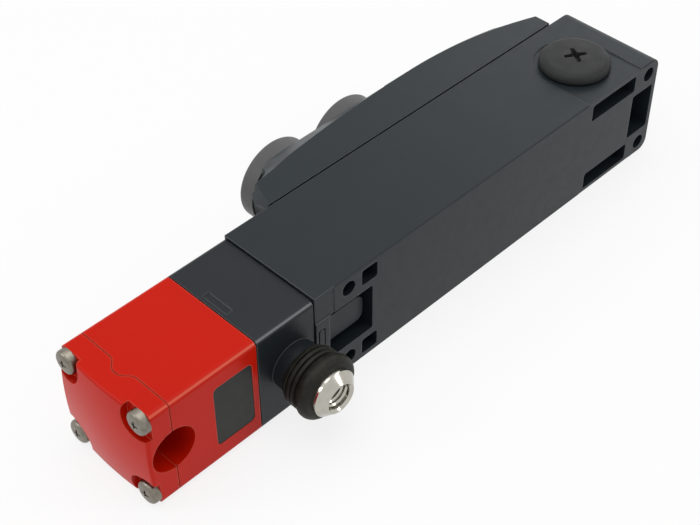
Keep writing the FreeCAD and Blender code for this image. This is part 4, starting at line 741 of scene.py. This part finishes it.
class SWITCH_OT_cover(SwitchOperator, bpy.types.Operator):
    """Shape the front cover, which falls away towards the head beside the first bezel."""

    bl_idname = "switch.cover"
    bl_label = "Front cover"

    def execute(self, context):
        colours = context.scene.switch_finishes
        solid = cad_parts["front_cover"]
        cover = bpy.data.objects.new("cover_shell", solid.data.copy())
        cover.matrix_world = solid.matrix_world
        context.scene.collection.objects.link(cover)
        apply_place(cover)
        close_up(cover)
        self.slope(cover, context.scene.switch_cover)
        bpy.ops.mesh.customdata_custom_splitnormals_clear()
        smooth(cover, degrees=14.0)
        grey = moulding("cover_grey", colours.cover, colours.housing_edge_highlight, rough=(0.32, 0.38))
        seat(cover, "switch_body", "dark_grey_plastic", grey, "front_cover")
        return {"FINISHED"}

    def slope(self, cover, sizes):
        """Draw the front in strip by strip, more and more towards the head end."""
        low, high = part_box("front_cover")
        hinge = high.y - sizes.slope_depth
        start = low.x + sizes.slope_start
        run = sizes.slope_start - sizes.slope_end
        select_only(cover)
        bpy.ops.object.mode_set(mode="EDIT")
        for strip in range(round(sizes.slope_start / sizes.slope_step)):
            near = start - strip * sizes.slope_step
            far = near - sizes.slope_step
            share = min(1.0, (start - far) / run)
            pick_vertices(cover, lambda place: far <= place.x < near and place.y > hinge)
            height_kept = 1.0 - share * sizes.slope_drop / sizes.slope_depth
            bpy.ops.transform.resize(value=(1.0, height_kept, 1.0), center_override=(0, hinge, 0))
        bpy.ops.object.mode_set(mode="OBJECT")


class SWITCH_OT_controls(SwitchOperator, bpy.types.Operator):
    """Finish the bezels, push buttons, nuts, the status lens and its light pipes."""

    bl_idname = "switch.controls"
    bl_label = "Controls"

    def execute(self, context):
        colours = context.scene.switch_finishes
        bezel = moulding("bezel_grey", colours.bezel, colours.bezel_edge_highlight, rough=(0.38, 0.48))
        dress(bezel, "button_bezel_1", "button_bezel_2", "button_nut_1", "button_nut_2")
        gloss = {"rough": (0.25, 0.34), "grain": 0.08}
        dress(moulding("button_white", colours.white, colours.white_edge_highlight, **gloss), "button_cap_1")
        dress(moulding("button_black", colours.black, colours.black_edge_highlight, **gloss), "button_cap_2")
        lens = moulding("lens_black", colours.lens, colours.lens_edge_highlight, rough=(0.12, 0.2), grain=0.04,
                        specular=0.5)
        dress(lens, "status_lens")
        dress(clear_rod("light_pipe", colours.pipe, colours.pipe_light), "status_light_pipes")
        return {"FINISHED"}


class SWITCH_OT_inside(SwitchOperator, bpy.types.Operator):
    """Finish the pieces inside the switch."""

    bl_idname = "switch.inside"
    bl_label = "Inner pieces"

    def execute(self, context):
        colours = context.scene.switch_finishes
        steel = tumbled_metal("ground_steel", colours.steel, rough=(0.22, 0.34), scratch=0.1,
                              stretch=(0.2, 1.0, 1.0))
        dress(steel, "lock_bolt", "lock_rod", "release_collar", "solenoid_plunger", "solenoid_core",
              "solenoid_yoke", "stem_clip", "aux_clip")
        bronze = tumbled_metal("sintered_bronze", colours.bronze, rough=(0.38, 0.5), scratch=0.3)
        dress(bronze, "bolt_bush", "stem_bush")
        copper = wound_wire("copper_winding", colours.copper, pitch=0.4 * MM)
        dress(copper, "solenoid_coil", "antenna_coil")
        nylon = moulding("natural_nylon", colours.nylon, colours.nylon_edge_highlight, rough=(0.4, 0.5), grain=0.1)
        dress(nylon, "solenoid_bobbin", "rod_guide", "contact_block_1", "contact_block_2")
        dress(circuit_board("board_green", colours.board), "control_board", "antenna_board")
        terminal = moulding("terminal_green", colours.terminal, colours.terminal_edge_highlight, rough=(0.35, 0.45),
                            grain=0.1)
        dress(terminal, "terminal_blocks")
        dress(tumbled_metal("inner_screws", colours.stainless),
              "yoke_screws", "board_screws", "terminal_screws", "lock_spring")
        return {"FINISHED"}


class SWITCH_OT_head_screws(SwitchOperator, bpy.types.Operator):
    """Model the four long pan head screws in the corners of the cap."""

    bl_idname = "switch.head_screws"
    bl_label = "Head screws"

    def execute(self, context):
        sizes = context.scene.switch_fasteners
        low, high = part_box("head_screws")
        seat_x = low.x + sizes.head_screw_height
        screw = pan_screw("head_screw_1", sizes.head_screw_head, sizes.head_screw_height,
                          sizes.head_screw_shank, high.x - seat_x, sizes)
        places = [(Vector((seat_x, y, z)), OUT_OF_HEAD)
                  for y, z in corners(low.yz, high.yz, sizes.head_screw_head / 2)]
        metal = tumbled_metal("plated_screws", context.scene.switch_finishes.stainless)
        for piece in copies_of(screw, places):
            seat(piece, "switch_body", "stainless", metal, "head_screws")
        return {"FINISHED"}


class SWITCH_OT_cover_screws(SwitchOperator, bpy.types.Operator):
    """Model the four screws at the bottom of the cover's cups."""

    bl_idname = "switch.cover_screws"
    bl_label = "Cover screws"

    def execute(self, context):
        sizes = context.scene.switch_fasteners
        low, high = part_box("cover_screws")
        seat_y = high.y - sizes.cover_screw_height
        screw = pan_screw("cover_screw_1", sizes.cover_screw_head, sizes.cover_screw_height,
                          sizes.cover_screw_shank, seat_y - low.y, sizes)
        places = [(Vector((x, seat_y, z)), OUT_OF_FRONT)
                  for x, z in corners(low.xz, high.xz, sizes.cover_screw_head / 2)]
        metal = tumbled_metal("cover_screw_steel", context.scene.switch_finishes.stainless)
        for piece in copies_of(screw, places):
            seat(piece, "switch_body", "stainless", metal, "cover_screws")
        return {"FINISHED"}


class SWITCH_OT_plug(SwitchOperator, bpy.types.Operator):
    """Model the crowned closing plug of the side entry."""

    bl_idname = "switch.plug"
    bl_label = "Closing plug"

    def execute(self, context):
        colours = context.scene.switch_finishes
        sizes = context.scene.switch_fasteners
        low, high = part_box("cable_plug")
        centre = (low + high) / 2
        flange_z = high.z - sizes.plug_flange
        outline = self.outline(sizes, (high.x - low.x) / 2, flange_z - low.z)
        plug = lathe("closing_plug", outline, LARGE_STEPS)
        cut_cross(plug, sizes.plug_recess_length, sizes.plug_recess_width, sizes.plug_recess_depth,
                  sizes.plug_flange, sizes.plug_recess_turn, end_share=0.6, floor_share=0.6)
        smooth(plug)
        set_piece(plug, Vector((centre.x, centre.y, flange_z)), UP)
        grey = moulding("plug_grey", colours.plug, colours.plug_edge_highlight, rough=(0.44, 0.56), grain=0.3)
        seat(plug, "switch_body", "plug_grey", grey, "cable_plug")
        return {"FINISHED"}

    def outline(self, sizes, radius, depth):
        """Crowned flange and hollow shank, from the middle of the face to the floor."""
        flat = radius - sizes.plug_rounding
        shoulder = sizes.plug_flange - sizes.plug_crown
        points = []
        for step in range(PLUG_FACE_STEPS):
            share = step / PLUG_FACE_STEPS
            points.append((flat * share, sizes.plug_flange - sizes.plug_crown * share ** 2))
        middle = (flat, shoulder - sizes.plug_rounding)
        points += reversed(arc(middle, sizes.plug_rounding, 0, 90, PLUG_ARC_STEPS))
        shank = sizes.plug_shank / 2
        bore = shank - sizes.plug_wall
        points += [(radius, 0.0), (shank, 0.0), (shank, -depth), (bore, -depth), (bore, -sizes.plug_floor),
                   (0.0, -sizes.plug_floor)]
        return points


class SWITCH_OT_bellows(SwitchOperator, bpy.types.Operator):
    """Model the ribbed rubber bellows of the escape release."""

    bl_idname = "switch.bellows"
    bl_label = "Release bellows"

    def execute(self, context):
        sizes = context.scene.switch_release
        low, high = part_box("release_bellows")
        ring = (high.x - low.x) / 2
        centre = (low + high) / 2
        length = high.y - low.y
        bellows = lathe("bellows", self.outline(sizes, ring, length), LARGE_STEPS)
        smooth(bellows, degrees=50.0)
        set_piece(bellows, Vector((centre.x, high.y, centre.z)), OUT_OF_BACK)
        seat(bellows, "switch_body", "black_rubber",
             rubber("bellows_rubber", context.scene.switch_finishes.rubber), "release_bellows")
        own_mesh(bellows)
        return {"FINISHED"}

    def outline(self, sizes, ring, length):
        """Outline from the cuff on the boss over the folds and the end ring to the stem."""
        points = [(sizes.bellows_bore, 0.0), (sizes.cuff_radius, 0.0)]
        for groove in range(sizes.groove_count):
            near = sizes.groove_start + groove * sizes.groove_pitch - sizes.groove_width / 2
            for step in range(FOLD_STEPS + 1):
                share = step / FOLD_STEPS
                sink = sizes.groove_depth * (1 - math.cos(FULL_TURN * share)) / 2
                points.append((sizes.fold_radius - sink, near + sizes.groove_width * share))
        points.append((ring, sizes.ring_start))
        middle = (ring - sizes.ring_rounding, length - sizes.ring_rounding)
        points += arc(middle, sizes.ring_rounding, 0, 90, FOLD_STEPS)
        inside = length - sizes.end_wall
        points += [(sizes.stem_bore, length), (sizes.stem_bore, inside),
                   (sizes.bellows_bore, inside - sizes.inner_slope), (sizes.bellows_bore, 0.0)]
        return points


class SWITCH_OT_stem(SwitchOperator, bpy.types.Operator):
    """Finish the plated stem and the auxiliary release, and wind the ridge of the stem's thread."""

    bl_idname = "switch.stem"
    bl_label = "Release stem"

    def execute(self, context):
        colours = context.scene.switch_finishes
        sizes = context.scene.switch_release
        low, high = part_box("release_stem")
        centre = (low + high) / 2
        plated = turned_metal("bright_nickel", colours.nickel, tuple(centre))
        dress(plated, "release_stem", "aux_release")
        thread = self.thread(sizes)
        set_piece(thread, Vector((centre.x, low.y + sizes.thread_start, centre.z)), OUT_OF_FRONT)
        seat(thread, "escape_release", "bright_nickel", plated)
        return {"FINISHED"}

    def thread(self, sizes):
        """Ridge that winds up the wall of the stem's hole."""
        wall = sizes.thread_core
        crest = wall - sizes.thread_height
        foot = 0.1 * sizes.thread_pitch
        flank = 0.45 * sizes.thread_pitch
        profile = [(wall, 0, foot), (crest, 0, flank), (crest, 0, sizes.thread_pitch - flank),
                   (wall, 0, sizes.thread_pitch - foot)]
        thread = single_point("stem_thread", profile[0])
        trace(profile)
        bpy.ops.object.mode_set(mode="OBJECT")
        wind(thread, sizes.thread_pitch, sizes.thread_turns, SMALL_STEPS)
        close_up(thread)
        smooth(thread)
        return thread


class SWITCH_OT_springs(SwitchOperator, bpy.types.Operator):
    """Model the return springs of the two push buttons."""

    bl_idname = "switch.springs"
    bl_label = "Button springs"

    def execute(self, context):
        sizes = context.scene.switch_release
        metal = tumbled_metal("spring_wire", context.scene.switch_finishes.stainless, rough=(0.2, 0.3),
                              scratch=0.05)
        for number in (1, 2):
            node = f"button_spring_{number}"
            low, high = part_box(node)
            centre = (low + high) / 2
            length = high.y - low.y
            mean_r = (high.x - low.x - sizes.spring_wire) / 2
            spring = self.coil(f"return_spring_{number}", sizes, mean_r, length)
            set_piece(spring, Vector((centre.x, low.y, centre.z)), OUT_OF_FRONT)
            seat(spring, "switch_body", "stainless", metal, node)
            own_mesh(spring)
        return {"FINISHED"}

    def coil(self, name, sizes, mean_r, length):
        """Round wire wound up along Z between two seats."""
        deselect_all()
        wire_r = sizes.spring_wire / 2
        bpy.ops.mesh.primitive_circle_add(vertices=WIRE_SIDES, radius=wire_r, location=(mean_r, 0, wire_r),
                                          rotation=(math.pi / 2, 0, 0))
        spring = bpy.context.object
        spring.name = name
        apply_place(spring)
        rise = (length - sizes.spring_wire) / sizes.spring_turns
        wind(spring, rise, sizes.spring_turns, COIL_STEPS)
        bpy.ops.object.mode_set(mode="EDIT")
        bpy.ops.mesh.select_all(action="SELECT")
        bpy.ops.mesh.fill_holes(sides=0)
        bpy.ops.object.mode_set(mode="OBJECT")
        close_up(spring)
        smooth(spring, degrees=50.0)
        return spring


class SWITCH_OT_stage(SwitchOperator, bpy.types.Operator):
    """Set up the pale floor, the soft lamps, the white surroundings and the camera."""

    bl_idname = "switch.stage"
    bl_label = "Studio"

    def execute(self, context):
        studio = context.scene.switch_studio
        context.scene.view_settings.view_transform = "Standard"
        self.add_floor(studio)
        self.add_world(context, studio)
        for side in ("key", "right", "left", "far"):
            power, size, place = (getattr(studio, f"{side}_{what}") for what in ("power", "size", "place"))
            self.add_lamp(f"{side}_lamp", power, size, place)
        self.add_camera(context, studio)
        return {"FINISHED"}

    def add_floor(self, studio):
        """Large floor at the foot of the switch."""
        deselect_all()
        foot = CAD_BOX[0].z
        bpy.ops.mesh.primitive_plane_add(size=studio.floor_size, location=(0, 0, foot))
        floor = bpy.context.object
        floor.name = "floor"
        material, tree, shader = start_material("pale_floor", Base_Color=opaque(studio.floor_colour),
                                                Roughness=0.8, Specular_IOR_Level=0.1)
        share = calculate(tree, "MULTIPLY", self.seen_directly(tree), studio.floor_white)
        white = add_node(tree, "ShaderNodeEmission", {"Color": (1, 1, 1, 1), "Strength": 1.0})
        shaders = {0: share, 1: shader.outputs["BSDF"], 2: white.outputs["Emission"]}
        blend = add_node(tree, "ShaderNodeMixShader", shaders)
        tree.links.new(blend.outputs["Shader"], tree.nodes["Material Output"].inputs["Surface"])
        floor.data.materials.append(material)

    def seen_directly(self, tree):
        """1 for rays from the camera, from gloss or through glass."""
        path = tree.nodes.new("ShaderNodeLightPath")
        first = calculate(tree, "MAXIMUM", path.outputs["Is Camera Ray"], path.outputs["Is Glossy Ray"])
        return calculate(tree, "MAXIMUM", first, path.outputs["Is Transmission Ray"])

    def add_world(self, context, studio):
        """White surroundings that light the switch only softly."""
        world = bpy.data.worlds.new("white_studio")
        world.use_nodes = True
        context.scene.world = world
        tree = world.node_tree
        background = tree.nodes["Background"]
        background.inputs["Color"].default_value = (1, 1, 1, 1)
        level = spread(tree, self.seen_directly(tree), studio.world_level, 1.0, from_low=0.0, from_high=1.0)
        tree.links.new(level, background.inputs["Strength"])

    def add_lamp(self, name, power, size, place):
        """Square soft lamp that faces the switch."""
        lamp = bpy.data.objects.new(name, bpy.data.lights.new(name, "AREA"))
        lamp.data.energy = power
        lamp.data.size = size
        lamp.location = place
        lamp.rotation_mode = "QUATERNION"
        lamp.rotation_quaternion = (-Vector(place)).to_track_quat("-Z", "Y")
        bpy.context.scene.collection.objects.link(lamp)

    def add_camera(self, context, studio):
        """Camera at the photograph's angle."""
        camera = bpy.data.objects.new("camera", bpy.data.cameras.new("camera"))
        camera.data.sensor_width = SENSOR_WIDTH
        camera.data.lens = studio.camera_lens
        camera.location = studio.camera_place
        camera.rotation_mode = "QUATERNION"
        look = Vector(studio.camera_aim).to_track_quat("-Z", "Y")
        camera.rotation_quaternion = look @ Quaternion((0, 0, 1), studio.camera_roll)
        context.scene.collection.objects.link(camera)
        context.scene.camera = camera


class SWITCH_PT_panel(bpy.types.Panel):
    """Every step of the switch in the sidebar."""

    bl_label = "Guard locking switch"
    bl_idname = "SWITCH_PT_panel"
    bl_space_type = "VIEW_3D"
    bl_region_type = "UI"
    bl_category = "Switch"

    def draw(self, context):
        for operator in OPERATORS:
            self.layout.operator(operator.bl_idname)


OPERATORS = (
    SWITCH_OT_head,
    SWITCH_OT_housing,
    SWITCH_OT_cover,
    SWITCH_OT_controls,
    SWITCH_OT_inside,
    SWITCH_OT_head_screws,
    SWITCH_OT_cover_screws,
    SWITCH_OT_plug,
    SWITCH_OT_bellows,
    SWITCH_OT_stem,
    SWITCH_OT_springs,
    SWITCH_OT_stage,
)
SETTINGS = {
    "switch_finishes": SwitchFinishes,
    "switch_cover": SwitchCover,
    "switch_fasteners": SwitchFasteners,
    "switch_release": SwitchRelease,
    "switch_studio": SwitchStudio,
}
CLASSES = tuple(SETTINGS.values()) + OPERATORS + (SWITCH_PT_panel,)


def register():
    """Register the classes and hang the settings on the scene."""
    for cls in CLASSES:
        bpy.utils.register_class(cls)
    for name, group in SETTINGS.items():
        setattr(bpy.types.Scene, name, PointerProperty(type=group))


def unregister():
    """Take the settings and the classes away again."""
    for name in SETTINGS:
        delattr(bpy.types.Scene, name)
    for cls in reversed(CLASSES):
        bpy.utils.unregister_class(cls)


def main():
    """Build every piece in order."""
    register()
    for operator in OPERATORS:
        family, step = operator.bl_idname.split(".")
        getattr(getattr(bpy.ops, family), step)()


if __name__ == "__main__":
    main()
